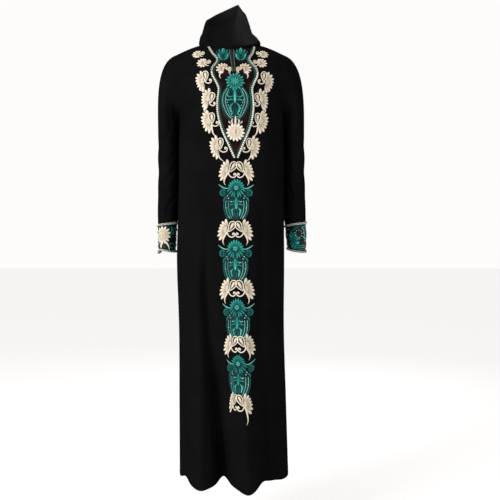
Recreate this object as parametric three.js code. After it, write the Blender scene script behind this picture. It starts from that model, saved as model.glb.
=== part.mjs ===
import * as THREE from 'three';

// A hooded, embroidered abaya in the form it takes when it is worn. Millimetres, +Z up.
// The front faces -Y, and left and right are those of someone who looks at the front.
// The origin is the middle of the neck at the height of the shoulders, which hold it up.

// Driving dimensions
const clothWall = 1.4;
const hemWall = 2.8;
const bandWall = 2;
const seamGap = 0.3;
const hemHeight = -1358;
const hemTurnUp = 22;
const hemStep = 2;
const hemSwing = 0.2;
const underarmHeight = -240;
const shoulderHalfWidth = 172;
const shoulderDrop = 26;
const shoulderCurve = 1.25;
const shoulderRound = 70;
const topCentreX = -5;
const neckHalfWidth = 99;
const neckDepth = { front: 80, back: 60 };
const bicepHeight = -275;
const sleevePull = 0.9;
// How far the sleeve turns outward as it leaves the armhole, and how hard it is pulled that
// way, at the underarm and at the top of the shoulder.
const capLeave = { under: 0.75, over: 0.3 };
const capPull = { under: 1.6, over: 1 };
const cuffCordRadius = 2.2;
const yokeCordRadius = 3.4;
const placketWall = 1.2;
const hoodClearance = 10;
const hoodFrontGap = 1.5;
const hoodSeamGap = 0.45;
const hoodBow = 3.5;
const hoodFallFrom = 98; // degrees round the neck where the fall behind it starts
const hoodFallRun = 50;
const hoodRestFrom = 0.1;

// Plan of the body at each height: half width at the side seam or armhole, depth at the
// middle and at the armhole edge, and how round the plan is between them.
const bodySections = [
  { z: -70, centreX: -3, halfWidth: 157, front: 97, back: 88, frontEdge: 61, backEdge: 59, round: 1.1 },
  { z: -95, centreX: -3, halfWidth: 155, front: 105, back: 92, frontEdge: 62, backEdge: 60, round: 1.1 },
  { z: -150, centreX: -2, halfWidth: 152, front: 121, back: 99, frontEdge: 60, backEdge: 58, round: 1.2 },
  { z: -195, centreX: -1, halfWidth: 156, front: 130, back: 103, frontEdge: 45, backEdge: 43, round: 1.5 },
  { z: -240, centreX: 0, halfWidth: 166, front: 137, back: 106, frontEdge: 0, backEdge: 0, round: 2.3 },
  { z: -420, centreX: 0, halfWidth: 168, front: 140, back: 112, frontEdge: 0, backEdge: 0, round: 2.3 },
  { z: -565, centreX: -2, halfWidth: 169.5, front: 142, back: 117, frontEdge: 0, backEdge: 0, round: 2.3 },
  { z: -680, centreX: -3, halfWidth: 171, front: 142, back: 119, frontEdge: 0, backEdge: 0, round: 2.3 },
  { z: -900, centreX: 0, halfWidth: 167, front: 140, back: 122, frontEdge: 0, backEdge: 0, round: 2.3 },
  { z: -1130, centreX: 4, halfWidth: 170, front: 132, back: 120, frontEdge: 0, backEdge: 0, round: 2.3 },
  { z: -1358, centreX: 8, halfWidth: 173, front: 118, back: 112, frontEdge: 0, backEdge: 0, round: 2.3 },
];
const planPower = 2.3;

// Folds that hang down the skirt: where each starts, its place across the panel at the
// start and at the hem, its half width, and how far it stands out (or in) at the hem.
const skirtFolds = {
  front: [
    { startZ: -260, startX: -98, hemX: -104, halfWidth: 37, depth: 42 },
    { startZ: -800, startX: -150, hemX: -152, halfWidth: 12, depth: -34 },
    { startZ: -560, startX: -84, hemX: -32, halfWidth: 18, depth: -53 },
    { startZ: -430, startX: 26, hemX: 42, halfWidth: 36, depth: 54 },
    { startZ: -640, startX: 84, hemX: 90, halfWidth: 17, depth: -20 },
    { startZ: -760, startX: 118, hemX: 122, halfWidth: 22, depth: -12 },
  ],
  back: [
    { startZ: -330, startX: -112, hemX: -116, halfWidth: 30, depth: 26 },
    { startZ: -620, startX: -66, hemX: -72, halfWidth: 18, depth: -34 },
    { startZ: -380, startX: -22, hemX: -26, halfWidth: 38, depth: 40 },
    { startZ: -560, startX: 34, hemX: 30, halfWidth: 19, depth: -42 },
    { startZ: -450, startX: 84, hemX: 88, halfWidth: 36, depth: 34 },
  ],
};
const foldGrowth = 1.25;

// Sleeve and cuff: outer and inner edge of each side, and the depth of the section.
const sleeveSections = [
  { z: -275, leftOuter: 235.5, leftInner: 167.6, rightOuter: 233, rightInner: 167.6, centreY: 14, halfDepth: 66 },
  { z: -430, leftOuter: 237, leftInner: 169.2, rightOuter: 237, rightInner: 169.2, centreY: 18, halfDepth: 58 },
  { z: -535, leftOuter: 237.5, leftInner: 172.2, rightOuter: 239, rightInner: 169.2, centreY: 20, halfDepth: 52 },
  { z: -560, leftOuter: 237, leftInner: 178.4, rightOuter: 239.5, rightInner: 174.6, centreY: 20, halfDepth: 49 },
  { z: -610, leftOuter: 236, leftInner: 180, rightOuter: 240, rightInner: 176.5, centreY: 20, halfDepth: 47 },
  { z: -660, leftOuter: 234, leftInner: 181, rightOuter: 238, rightInner: 180.5, centreY: 20, halfDepth: 46 },
];
const sleevePower = 2.2;
// Cuff edges: middle height, how much higher the outer and the front side are, and how far
// the lower edge hangs down in a soft corner behind the outer side.
const cuffEdges = {
  left: { top: -566, topOuter: -5, topFront: 0, bottom: -650, bottomOuter: 5, bottomFront: -3, corner: 15 },
  right: { top: -566, topOuter: 6, topFront: 0, bottom: -650, bottomOuter: 0, bottomFront: -6, corner: 0 },
};
const cuffCornerAround = -30;
const cuffCornerPower = 8;
// Creases across the sleeves: height, side of the arm they sit on, half height, depth.
const sleeveCreases = [
  { z: -318, around: 90, halfHeight: 20, depth: 7 },
  { z: -398, around: 60, halfHeight: 26, depth: 5 },
  { z: -476, around: 95, halfHeight: 22, depth: 6 },
  { z: -300, around: 270, halfHeight: 24, depth: 6 },
  { z: -440, around: 280, halfHeight: 26, depth: 5 },
];

// Rim of the hood from the middle of the front (0) round to the seam at the back (180).
const hoodRim = {
  left: [
    { angle: 5, x: -9, y: -84, z: -18 },
    { angle: 35, x: -59, y: -67, z: -9 },
    { angle: 60, x: -87, y: -38, z: 13 },
    { angle: 85, x: -94.5, y: 0, z: 40 },
    { angle: 100, x: -92, y: 22, z: 64 },
    { angle: 115, x: -84, y: 42, z: 99 },
    { angle: 130, x: -70, y: 58, z: 115 },
    { angle: 145, x: -52, y: 70, z: 130 },
    { angle: 160, x: -30, y: 77, z: 143 },
    { angle: 180, x: 22, y: 80, z: 168 },
  ],
  right: [
    { angle: 5, x: 5, y: -84, z: -18 },
    { angle: 35, x: 55, y: -66, z: -12 },
    { angle: 60, x: 80, y: -38, z: 6 },
    { angle: 85, x: 81, y: -2, z: 31 },
    { angle: 95, x: 72, y: 8, z: 43 },
    { angle: 104, x: 64, y: 17, z: 55 },
    { angle: 120, x: 60.5, y: 34, z: 79 },
    { angle: 135, x: 55, y: 48, z: 102 },
    { angle: 150, x: 48, y: 62, z: 127 },
    { angle: 165, x: 38, y: 72, z: 143 },
    { angle: 180, x: 22, y: 80, z: 168 },
  ],
};
// Fall of the hood behind the neck, seam to rim: how far out and up the cloth goes, and
// the share of the way to the rim that it has made.
const hoodFall = [
  { along: 0, out: 0, up: 0, toRim: 0 },
  { along: 0.06, out: 2, up: 9, toRim: 0 },
  { along: 0.13, out: 13, up: 15, toRim: 0 },
  { along: 0.22, out: 30, up: -2, toRim: 0 },
  { along: 0.32, out: 40, up: -48, toRim: 0 },
  { along: 0.42, out: 50, up: -98, toRim: 0 },
  { along: 0.5, out: 68, up: -118, toRim: 0 },
  { along: 0.58, out: 84, up: -94, toRim: 0 },
  { along: 0.72, out: 90, up: -20, toRim: 0.12 },
  { along: 0.86, out: 62, up: 20, toRim: 0.52 },
  { along: 1, out: 0, up: 0, toRim: 1 },
];

// Half width of the yoke that the twisted cord outlines, and its middle line.
const yokeOutline = [
  { z: -25, half: 70, centreX: 0 },
  { z: -48, half: 61, centreX: 3 },
  { z: -64, half: 49, centreX: 5 },
  { z: -77, half: 52, centreX: 7 },
  { z: -95, half: 66, centreX: 8 },
  { z: -117, half: 68, centreX: 10 },
  { z: -143, half: 57, centreX: 11 },
  { z: -163, half: 50, centreX: 11.5 },
  { z: -200, half: 53, centreX: 11.5 },
  { z: -229, half: 53, centreX: 11.5 },
  { z: -257, half: 48.5, centreX: 11.5 },
  { z: -294, half: 38, centreX: 12 },
  { z: -332, half: 22, centreX: 12.5 },
  { z: -372, half: 5.2, centreX: 13.5 },
];
const placketOutline = [
  { z: -34, half: 6, centreX: 0 },
  { z: -62, half: 5.5, centreX: 2.5 },
  { z: -108, half: 3.5, centreX: 7.5 },
];

const looks = {
  blackCloth: new THREE.MeshStandardMaterial({ color: 0x121213, roughness: 0.85, metalness: 0 }),
  greenBand: new THREE.MeshStandardMaterial({ color: 0x0f2f2b, roughness: 0.75, metalness: 0 }),
  creamCord: new THREE.MeshStandardMaterial({ color: 0xd9ccb4, roughness: 0.6, metalness: 0 }),
};

const radians = (degrees) => (degrees * Math.PI) / 180;
const lerp = (a, b, share) => a + (b - a) * share;
const clamp = (value, low, high) => Math.min(Math.max(value, low), high);
const ease = (value) => value * value * (3 - 2 * value);
const signedPower = (value, power) => Math.sign(value) * Math.abs(value) ** power;
const bump = (distance) => Math.exp(-distance * distance);

function hermite(start, end, startSlope, endSlope, share) {
  const s2 = share * share;
  const s3 = s2 * share;
  return (2 * s3 - 3 * s2 + 1) * start + (s3 - 2 * s2 + share) * startSlope
    + (3 * s2 - 2 * s3) * end + (s3 - s2) * endSlope;
}

// Smooth value of one column of a table at a place along its key column.
function columnAt(table, key, column, place) {
  const last = table.length - 1;
  const way = Math.sign(table[last][key] - table[0][key]);
  if (way * (place - table[0][key]) <= 0) return table[0][column];
  if (way * (place - table[last][key]) >= 0) return table[last][column];
  let i = 0;
  while (way * (place - table[i + 1][key]) > 0) i += 1;
  const span = table[i + 1][key] - table[i][key];
  const slope = (k) => {
    const before = table[Math.max(k - 1, 0)];
    const after = table[Math.min(k + 1, last)];
    return ((after[column] - before[column]) / (after[key] - before[key])) * span;
  };
  const share = (place - table[i][key]) / span;
  return hermite(table[i][column], table[i + 1][column], slope(i), slope(i + 1), share);
}
const bodyAt = (column, z) => columnAt(bodySections, 'z', column, z);

// ---- surfaces ----

// Height of the shoulder seam, which is level across the neck and drops to the armhole.
function shoulderLine(across) {
  const past = Math.max(Math.abs(across) * shoulderHalfWidth - neckHalfWidth, 0);
  return -shoulderDrop * (past / (shoulderHalfWidth - neckHalfWidth)) ** shoulderCurve;
}

function foldDepth(panel, x, z) {
  let depth = 0;
  for (const fold of skirtFolds[panel]) {
    const grown = clamp((fold.startZ - z) / (fold.startZ - hemHeight), 0, 1.1);
    const place = lerp(fold.startX, fold.hemX, grown);
    depth += fold.depth * grown ** foldGrowth * bump((x - place) / fold.halfWidth);
  }
  return depth;
}

function panelDepth(panel, across, z) {
  const edge = bodyAt(`${panel}Edge`, z);
  const curve = Math.max(1 - Math.abs(across) ** planPower, 0) ** (1 / bodyAt('round', z));
  const folds = foldDepth(panel, across * bodyAt('halfWidth', z), z) * (1 - across ** 6);
  return edge + (bodyAt(panel, z) - edge) * curve + folds;
}

// Outer face of the front or back. Level runs 0 at the hem, 1 at the underarm, 1.5 where
// the rounded shoulder starts and 2 at the shoulder seam or neckline.
function bodyPoint(panel, angle, level) {
  const facing = panel === 'front' ? -1 : 1;
  const across = signedPower(Math.sin(angle), 2 / planPower);
  const capBase = shoulderLine(across) - shoulderRound;
  if (level <= 1.5) {
    const hemX = across * bodyAt('halfWidth', hemHeight);
    const hem = hemHeight - hemSwing * foldDepth(panel, hemX, hemHeight);
    const z = level <= 1
      ? lerp(hem, underarmHeight, level)
      : lerp(underarmHeight, capBase, (level - 1) * 2);
    const x = bodyAt('centreX', z) + across * bodyAt('halfWidth', z);
    return new THREE.Vector3(x, facing * panelDepth(panel, across, z), z);
  }
  const depth = panelDepth(panel, across, capBase);
  const neckShare = (across * shoulderHalfWidth) / neckHalfWidth;
  const neckY = Math.abs(neckShare) < 1 ? neckDepth[panel] * Math.sqrt(1 - neckShare ** 2) : 0;
  const share = (level - 1.5) * 2;
  const turn = Math.acos(clamp(neckY / depth, 0, 1)) * share;
  const halfWidth = lerp(bodyAt('halfWidth', capBase), shoulderHalfWidth, share ** 1.5);
  return new THREE.Vector3(
    lerp(bodyAt('centreX', capBase), topCentreX, share) + across * halfWidth,
    facing * depth * Math.cos(turn),
    capBase + shoulderRound * Math.sin(turn),
  );
}

// Where a rising function of one value reaches zero between two bounds.
const halvings = 24;
function solve(rising, low, high) {
  for (let i = 0; i < halvings; i += 1) {
    const middle = (low + high) / 2;
    if (rising(middle) < 0) low = middle;
    else high = middle;
  }
  return (low + high) / 2;
}

// A place on the front given by its x and z, with its outward direction.
function onFront(x, z) {
  let angle = 0;
  let level = 1;
  const passes = 6;
  for (let i = 0; i < passes; i += 1) {
    level = solve((value) => bodyPoint('front', angle, value).z - z, 0, 2);
    angle = solve((value) => bodyPoint('front', value, level).x - x, -Math.PI / 2, Math.PI / 2);
  }
  const step = 0.01;
  const round = bodyPoint('front', angle + step, level).sub(bodyPoint('front', angle - step, level));
  const above = bodyPoint('front', angle, Math.min(level + step, 2));
  const rise = above.sub(bodyPoint('front', angle, level - step));
  return { point: bodyPoint('front', angle, level), outward: round.cross(rise).normalize() };
}

// ---- solids ----

// Direction square to a grid of points at one of them.
function gridNormal(grid, row, column, closed) {
  const rows = grid.length;
  const columns = grid[0].length;
  const at = (r, c) => {
    const place = closed ? (c + columns) % columns : clamp(c, 0, columns - 1);
    return grid[clamp(r, 0, rows - 1)][place];
  };
  const along = at(row + 1, column).clone().sub(at(row - 1, column));
  const round = at(row, column + 1).clone().sub(at(row, column - 1));
  return along.cross(round).normalize();
}

// One closed body between two grids of the same shape. A closed grid is a tube.
function wallSolid(face, lining, closed) {
  const rows = face.length;
  const columns = face[0].length;
  const points = [...face.flat(), ...lining.flat()];
  const faces = [];
  const place = (layer, r, c) => layer * rows * columns + r * columns + (c % columns);
  const quad = (a, b, c, d) => faces.push(a, b, c, a, c, d);
  const wrap = closed ? columns : columns - 1;
  for (let r = 0; r < rows - 1; r += 1) {
    for (let c = 0; c < wrap; c += 1) {
      quad(place(0, r, c), place(0, r, c + 1), place(0, r + 1, c + 1), place(0, r + 1, c));
      quad(place(1, r, c), place(1, r + 1, c), place(1, r + 1, c + 1), place(1, r, c + 1));
    }
  }
  for (let c = 0; c < wrap; c += 1) {
    const top = rows - 1;
    quad(place(0, 0, c), place(1, 0, c), place(1, 0, c + 1), place(0, 0, c + 1));
    quad(place(0, top, c), place(0, top, c + 1), place(1, top, c + 1), place(1, top, c));
  }
  for (let r = 0; r < rows - 1 && !closed; r += 1) {
    const end = columns - 1;
    quad(place(0, r, 0), place(0, r + 1, 0), place(1, r + 1, 0), place(1, r, 0));
    quad(place(0, r, end), place(1, r, end), place(1, r + 1, end), place(0, r + 1, end));
  }
  return solidGeometry(points, faces);
}

// A round cord through a list of places, each with the direction away from the cloth.
function cordSolid(places, radius, closed) {
  const sides = 6;
  const count = places.length;
  const points = [];
  const faces = [];
  places.forEach(({ point, outward }, i) => {
    const before = places[closed ? (i + count - 1) % count : Math.max(i - 1, 0)].point;
    const after = places[closed ? (i + 1) % count : Math.min(i + 1, count - 1)].point;
    const along = after.clone().sub(before).normalize();
    const side = along.clone().cross(outward).normalize();
    const up = side.clone().cross(along).normalize();
    for (let k = 0; k < sides; k += 1) {
      const turn = radians((360 / sides) * (k + 0.5));
      points.push(point.clone().addScaledVector(up, radius * Math.sin(turn))
        .addScaledVector(side, radius * Math.cos(turn)));
    }
  });
  const place = (i, k) => (i % count) * sides + (k % sides);
  for (let i = 0; i < (closed ? count : count - 1); i += 1) {
    for (let k = 0; k < sides; k += 1) {
      faces.push(place(i, k), place(i + 1, k), place(i + 1, k + 1));
      faces.push(place(i, k), place(i + 1, k + 1), place(i, k + 1));
    }
  }
  for (let k = 1; k < sides - 1 && !closed; k += 1) {
    faces.push(place(0, 0), place(0, k), place(0, k + 1));
    faces.push(place(count - 1, 0), place(count - 1, k + 1), place(count - 1, k));
  }
  return solidGeometry(points, faces);
}

// Indexed geometry whose faces point out, whichever way its grid was wound.
function solidGeometry(points, faces) {
  let volume = 0;
  for (let i = 0; i < faces.length; i += 3) {
    const [a, b, c] = [points[faces[i]], points[faces[i + 1]], points[faces[i + 2]]];
    volume += a.dot(b.clone().cross(c));
  }
  if (volume < 0) {
    for (let i = 0; i < faces.length; i += 3) [faces[i + 1], faces[i + 2]] = [faces[i + 2], faces[i + 1]];
  }
  const geometry = new THREE.BufferGeometry();
  const places = points.flatMap((point) => point.toArray());
  geometry.setAttribute('position', new THREE.Float32BufferAttribute(places, 3));
  geometry.setIndex(faces);
  geometry.computeVertexNormals();
  return geometry;
}

// ---- pieces ----

const armholeRows = 10;
const upperLevels = Array.from({ length: armholeRows + 1 }, (_, i) => 1 + i / armholeRows);

function lowerLevels(steps) {
  const height = underarmHeight - hemHeight;
  const turned = [0, hemTurnUp / height, (hemTurnUp + hemStep) / height];
  const rest = Array.from({ length: steps }, (_, i) => lerp(turned[2], 1, (i + 1) / (steps + 1)));
  return [...turned, ...rest];
}

// Column angles of a panel. Those that end in the neckline crowd towards its two ends.
function panelAngles(sideSteps, neckSteps) {
  const neckShare = neckHalfWidth / shoulderHalfWidth;
  const angleOf = (across) => Math.asin(signedPower(across, planPower / 2));
  const neckEdge = angleOf(neckShare);
  const run = (from, to, steps) => Array.from({ length: steps }, (_, i) => lerp(from, to, i / steps));
  const neckRun = run(-1, 1, neckSteps).map((way) => (way + Math.sin((way * Math.PI) / 2)) / 2);
  return [
    ...run(-Math.PI / 2, -neckEdge, sideSteps),
    ...neckRun.map((share) => angleOf(share * neckShare)),
    ...run(neckEdge, Math.PI / 2, sideSteps),
    Math.PI / 2,
  ];
}

// Both faces of the front or back. Seams with the other panel lie in the plane y = 0.
function panelWalls(panel, { sideSteps, neckSteps, skirtSteps }) {
  const facing = panel === 'front' ? -1 : 1;
  const levels = [...lowerLevels(skirtSteps), ...upperLevels];
  const angles = panelAngles(sideSteps, neckSteps);
  const keepSide = (point) => {
    point.y = facing * Math.max(facing * point.y, seamGap / 2);
    return point;
  };
  const face = levels.map((level) => angles.map((angle) => keepSide(bodyPoint(panel, angle, level))));
  const lining = face.map((row, r) => row.map((point, c) => {
    const inward = gridNormal(face, r, c, false).multiplyScalar(-facing);
    const onSeam = Math.abs(point.y) < seamGap;
    if (onSeam) inward.setY(0).normalize();
    return keepSide(point.clone().addScaledVector(inward, r < 2 ? hemWall : clothWall));
  }));
  return { face, lining };
}

// Armhole edge of both panels, from the underarm up the front, over and down the back:
// each place has its outer and inner point and the direction away from the panel.
function armholeRing(front, back, side) {
  const edgeOf = (walls) => {
    const column = side === 'left' ? 0 : walls.face[0].length - 1;
    const first = walls.face.length - upperLevels.length;
    return upperLevels.map((_, i) => {
      const row = first + i;
      const outer = walls.face[row][column];
      const inner = walls.lining[row][column];
      const next = walls.face[Math.min(row + 1, walls.face.length - 1)][column];
      const before = walls.face[i === 0 ? row : row - 1][column];
      const across = outer.clone().sub(inner);
      const away = next.clone().sub(before).cross(across).normalize();
      const centre = walls.face[row][Math.floor(walls.face[0].length / 2)];
      if (away.dot(outer.clone().sub(centre)) < 0 && i > 0) away.negate();
      if (i === 0 && away.z < 0) away.negate();
      return { outer, inner, away };
    });
  };
  const [rise, fall] = [edgeOf(front), edgeOf(back)];
  const middle = (a, b) => ({
    outer: a.outer.clone().add(b.outer).multiplyScalar(0.5),
    inner: a.inner.clone().add(b.inner).multiplyScalar(0.5),
    away: a.away.clone().add(b.away).normalize(),
  });
  return [
    middle(rise[0], fall[0]),
    ...rise.slice(1, armholeRows),
    middle(rise[armholeRows], fall[armholeRows]),
    ...fall.slice(1, armholeRows).reverse(),
  ];
}

// Outer face of a sleeve or cuff. Around is 0 on the outer side, 90 in front.
function sleevePoint(side, around, z, standOut) {
  const outer = columnAt(sleeveSections, 'z', `${side}Outer`, z);
  const inner = columnAt(sleeveSections, 'z', `${side}Inner`, z);
  const turn = radians(around);
  let grow = standOut;
  for (const crease of sleeveCreases) {
    const towards = (1 + Math.cos(turn - radians(crease.around))) / 2;
    grow -= crease.depth * bump((z - crease.z) / crease.halfHeight) * towards ** 3;
  }
  const width = (outer - inner) / 2 + grow;
  const depth = columnAt(sleeveSections, 'z', 'halfDepth', z) + grow;
  const centreY = columnAt(sleeveSections, 'z', 'centreY', z);
  const x = (outer + inner) / 2 + width * signedPower(Math.cos(turn), 2 / sleevePower);
  const y = centreY - depth * signedPower(Math.sin(turn), 2 / sleevePower);
  return new THREE.Vector3(side === 'left' ? -x : x, y, z);
}

const ringAngles = Array.from({ length: armholeRows * 2 }, (_, i) => 180 - (180 * i) / armholeRows);

function cuffEdge(side, edge, around) {
  const cuff = cuffEdges[side];
  const turn = radians(around);
  const corner = Math.max(Math.cos(radians(around - cuffCornerAround)), 0) ** cuffCornerPower;
  return cuff[edge] + cuff[`${edge}Outer`] * Math.cos(turn) + cuff[`${edge}Front`] * Math.sin(turn)
    - (edge === 'bottom' ? cuff.corner * corner : 0);
}

function sleeveGeometry(front, back, side) {
  const ring = armholeRing(front, back, side);
  const capSteps = 6;
  const armSteps = 8;
  const outward = new THREE.Vector3(side === 'left' ? -1 : 1, 0, 0);
  const face = [ring.map(({ outer, away }) => outer.clone().addScaledVector(away, seamGap))];
  for (let step = 1; step <= capSteps; step += 1) {
    const share = step / capSteps;
    face.push(ring.map(({ away }, i) => {
      const start = face[0][i];
      const end = sleevePoint(side, ringAngles[i], bicepHeight, 0);
      const reach = start.distanceTo(end) * sleevePull;
      const top = (1 - Math.cos(radians(ringAngles[i] - 180))) / 2;
      const leave = away.clone().lerp(outward, lerp(capLeave.under, capLeave.over, top)).normalize()
        .multiplyScalar(reach * lerp(capPull.under, capPull.over, top));
      const arrive = new THREE.Vector3(0, 0, -reach);
      return new THREE.Vector3(
        hermite(start.x, end.x, leave.x, arrive.x, share),
        hermite(start.y, end.y, leave.y, arrive.y, share),
        hermite(start.z, end.z, leave.z, arrive.z, share),
      );
    }));
  }
  for (let step = 1; step <= armSteps; step += 1) {
    face.push(ringAngles.map((around) => {
      const end = cuffEdge(side, 'top', around) + seamGap;
      return sleevePoint(side, around, lerp(bicepHeight, end, step / armSteps), 0);
    }));
  }
  const way = side === 'left' ? 1 : -1;
  const lining = face.map((row, r) => row.map((point, c) => {
    if (r === 0) return ring[c].inner.clone().addScaledVector(ring[c].away, seamGap);
    return point.clone().addScaledVector(gridNormal(face, r, c, true), way * clothWall);
  }));
  return wallSolid(face, lining, true);
}

function cuffGeometry(side) {
  const steps = 3;
  const level = (around, step) => lerp(
    cuffEdge(side, 'top', around), cuffEdge(side, 'bottom', around), step / steps);
  const rings = (standOut) => Array.from({ length: steps + 1 }, (_, step) => ringAngles.map(
    (around) => sleevePoint(side, around, level(around, step), standOut)));
  const standOut = (bandWall - clothWall) / 2;
  return wallSolid(rings(standOut), rings(standOut - bandWall), true);
}

function cuffCordGeometry(side, edge) {
  const inset = edge === 'bottom' ? cuffCordRadius : 0;
  const offset = bandWall / 2 + seamGap + cuffCordRadius;
  const places = ringAngles.map((around) => {
    const z = cuffEdge(side, edge, around) + inset;
    const point = sleevePoint(side, around, z, offset);
    const outward = point.clone().sub(sleevePoint(side, around, z, 0)).normalize();
    return { point, outward };
  });
  return cordSolid(places, cuffCordRadius, true);
}

// Neckline edge of one half, from the middle of the front to the middle of the back: each
// place has its outer and inner point, the angle round the neck and the direction away.
function necklineRun(front, back, side) {
  const edgeOf = (walls) => {
    const top = walls.face.length - 1;
    const middle = (walls.face[0].length - 1) / 2;
    return walls.face[top].map((outer, c) => {
      const share = Math.abs(outer.x - topCentreX) / neckHalfWidth;
      const onHalf = side === 'left' ? c <= middle : c >= middle;
      const angle = (Math.asin(Math.min(share, 1)) * 180) / Math.PI;
      return { outer, inner: walls.lining[top][c], angle, used: onHalf && share < 1 + 1e-3 };
    }).filter(({ used }) => used).sort((a, b) => a.angle - b.angle);
  };
  const rise = edgeOf(front);
  const fall = edgeOf(back).reverse().slice(1).map((place) => ({ ...place, angle: 180 - place.angle }));
  const neckPoint = rise[rise.length - 1];
  neckPoint.outer = neckPoint.outer.clone().setY(0);
  neckPoint.inner = neckPoint.inner.clone().setY(0);
  const run = [...rise, ...fall];
  return run.map((place, i) => {
    const next = run[Math.min(i + 1, run.length - 1)].outer.clone();
    const edge = next.sub(run[Math.max(i - 1, 0)].outer);
    const away = edge.cross(place.outer.clone().sub(place.inner)).normalize();
    const toMiddle = new THREE.Vector3(topCentreX, 0, 0).sub(place.outer);
    if (away.dot(toMiddle) < 0) away.negate();
    return { ...place, away };
  });
}

// Moves a point of the hood clear of the shoulders and upper back.
function restOnBack(point) {
  for (const halfWidth of [bodyAt('halfWidth', -shoulderRound), shoulderHalfWidth]) {
    const across = clamp((point.x - topCentreX) / halfWidth, -1, 1);
    const capBase = shoulderLine(across) - shoulderRound;
    const depth = panelDepth('back', across, Math.min(point.z, capBase)) + hoodClearance;
    const reach = Math.hypot(point.y / depth, (point.z - capBase) / (shoulderRound + hoodClearance));
    if (point.z < capBase) {
      point.y = Math.max(point.y, depth);
    } else if (reach < 1 && point.y > 0) {
      point.y /= reach;
      point.z = capBase + (point.z - capBase) / reach;
    }
  }
  return point;
}

function hoodPoint(side, seam, angle, along) {
  const way = side === 'left' ? -1 : 1;
  const [rimX, rimY, rimZ] = ['x', 'y', 'z'].map((axis) => columnAt(hoodRim[side], 'angle', axis, angle));
  const rim = new THREE.Vector3(rimX, rimY, rimZ);
  const fall = ease(clamp((angle - hoodFallFrom) / hoodFallRun, 0, 1));
  const bow = hoodBow * (1 - fall) * Math.sin(Math.PI * along) ** 2;
  const point = seam.clone().lerp(rim, lerp(along, columnAt(hoodFall, 'along', 'toRim', along), fall));
  point.x += way * bow * Math.sin(radians(angle));
  point.y += fall * columnAt(hoodFall, 'along', 'out', along) - bow * Math.cos(radians(angle));
  point.z += fall * columnAt(hoodFall, 'along', 'up', along);
  return along > hoodRestFrom && angle > 90 ? restOnBack(point) : point;
}

function hoodGeometry(front, back, side) {
  const steps = 18;
  const way = side === 'left' ? -1 : 1;
  const run = necklineRun(front, back, side);
  const last = run.length - 1;
  const face = Array.from({ length: steps + 1 }, (_, r) => run.map(({ outer, away, angle }, c) => {
    const seam = outer.clone().addScaledVector(away, hoodSeamGap);
    const point = r === 0 ? seam : hoodPoint(side, seam, angle, r / steps);
    if (c === 0) point.x = topCentreX + way * hoodFrontGap;
    if (c === last) point.x += (way * seamGap) / 2;
    return point;
  }));
  const lining = face.map((row, r) => row.map((point, c) => {
    const inward = gridNormal(face, r, c, false).multiplyScalar(way);
    if (c === last || c === 0) inward.setX(0).normalize();
    if (r > 0) return point.clone().addScaledVector(inward, clothWall);
    return point.clone().add(run[c].inner).sub(run[c].outer);
  }));
  return wallSolid(face, lining, false);
}

function yokeCordGeometry(side) {
  const count = 44;
  const way = side === 'left' ? -1 : 1;
  const first = yokeOutline[0].z;
  const last = yokeOutline[yokeOutline.length - 1].z;
  const places = Array.from({ length: count + 1 }, (_, i) => {
    const z = lerp(first, last, i / count);
    const x = columnAt(yokeOutline, 'z', 'centreX', z) + way * columnAt(yokeOutline, 'z', 'half', z);
    const { point, outward } = onFront(x, z);
    return { point: point.addScaledVector(outward, yokeCordRadius + seamGap), outward };
  });
  return cordSolid(places, yokeCordRadius, false);
}

function placketGeometry() {
  const steps = 8;
  const layer = (offset) => Array.from({ length: steps + 1 }, (_, r) => [-1, 0, 1].map((way) => {
    const z = lerp(placketOutline[0].z, placketOutline[2].z, r / steps);
    const half = columnAt(placketOutline, 'z', 'half', z);
    const x = columnAt(placketOutline, 'z', 'centreX', z) + way * half;
    const { point, outward } = onFront(x, z);
    return point.addScaledVector(outward, offset);
  }));
  return wallSolid(layer(seamGap * 2 + placketWall), layer(seamGap * 2), false);
}

const abaya = new THREE.Group();
function sew(name, geometry, material) {
  const mesh = new THREE.Mesh(geometry, material);
  mesh.name = name;
  abaya.add(mesh);
}

const front = panelWalls('front', { sideSteps: 12, neckSteps: 18, skirtSteps: 22 });
const back = panelWalls('back', { sideSteps: 8, neckSteps: 14, skirtSteps: 16 });
sew('front', wallSolid(front.face, front.lining, false), looks.blackCloth);
sew('back', wallSolid(back.face, back.lining, false), looks.blackCloth);
for (const side of ['left', 'right']) {
  sew(`sleeve_${side}`, sleeveGeometry(front, back, side), looks.blackCloth);
  sew(`cuff_${side}`, cuffGeometry(side), looks.greenBand);
  sew(`cuff_cord_${side}_top`, cuffCordGeometry(side, 'top'), looks.creamCord);
  sew(`cuff_cord_${side}_bottom`, cuffCordGeometry(side, 'bottom'), looks.creamCord);
  sew(`hood_${side}`, hoodGeometry(front, back, side), looks.blackCloth);
  sew(`yoke_cord_${side}`, yokeCordGeometry(side), looks.creamCord);
}
sew('placket', placketGeometry(), looks.greenBand);

export default abaya;
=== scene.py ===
# A hooded abaya in black crepe, with thread embroidery, a corded yoke and banded cuffs.
# Helpers work in millimetres; meshes are made in metres. The front faces -Y.
import math

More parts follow.
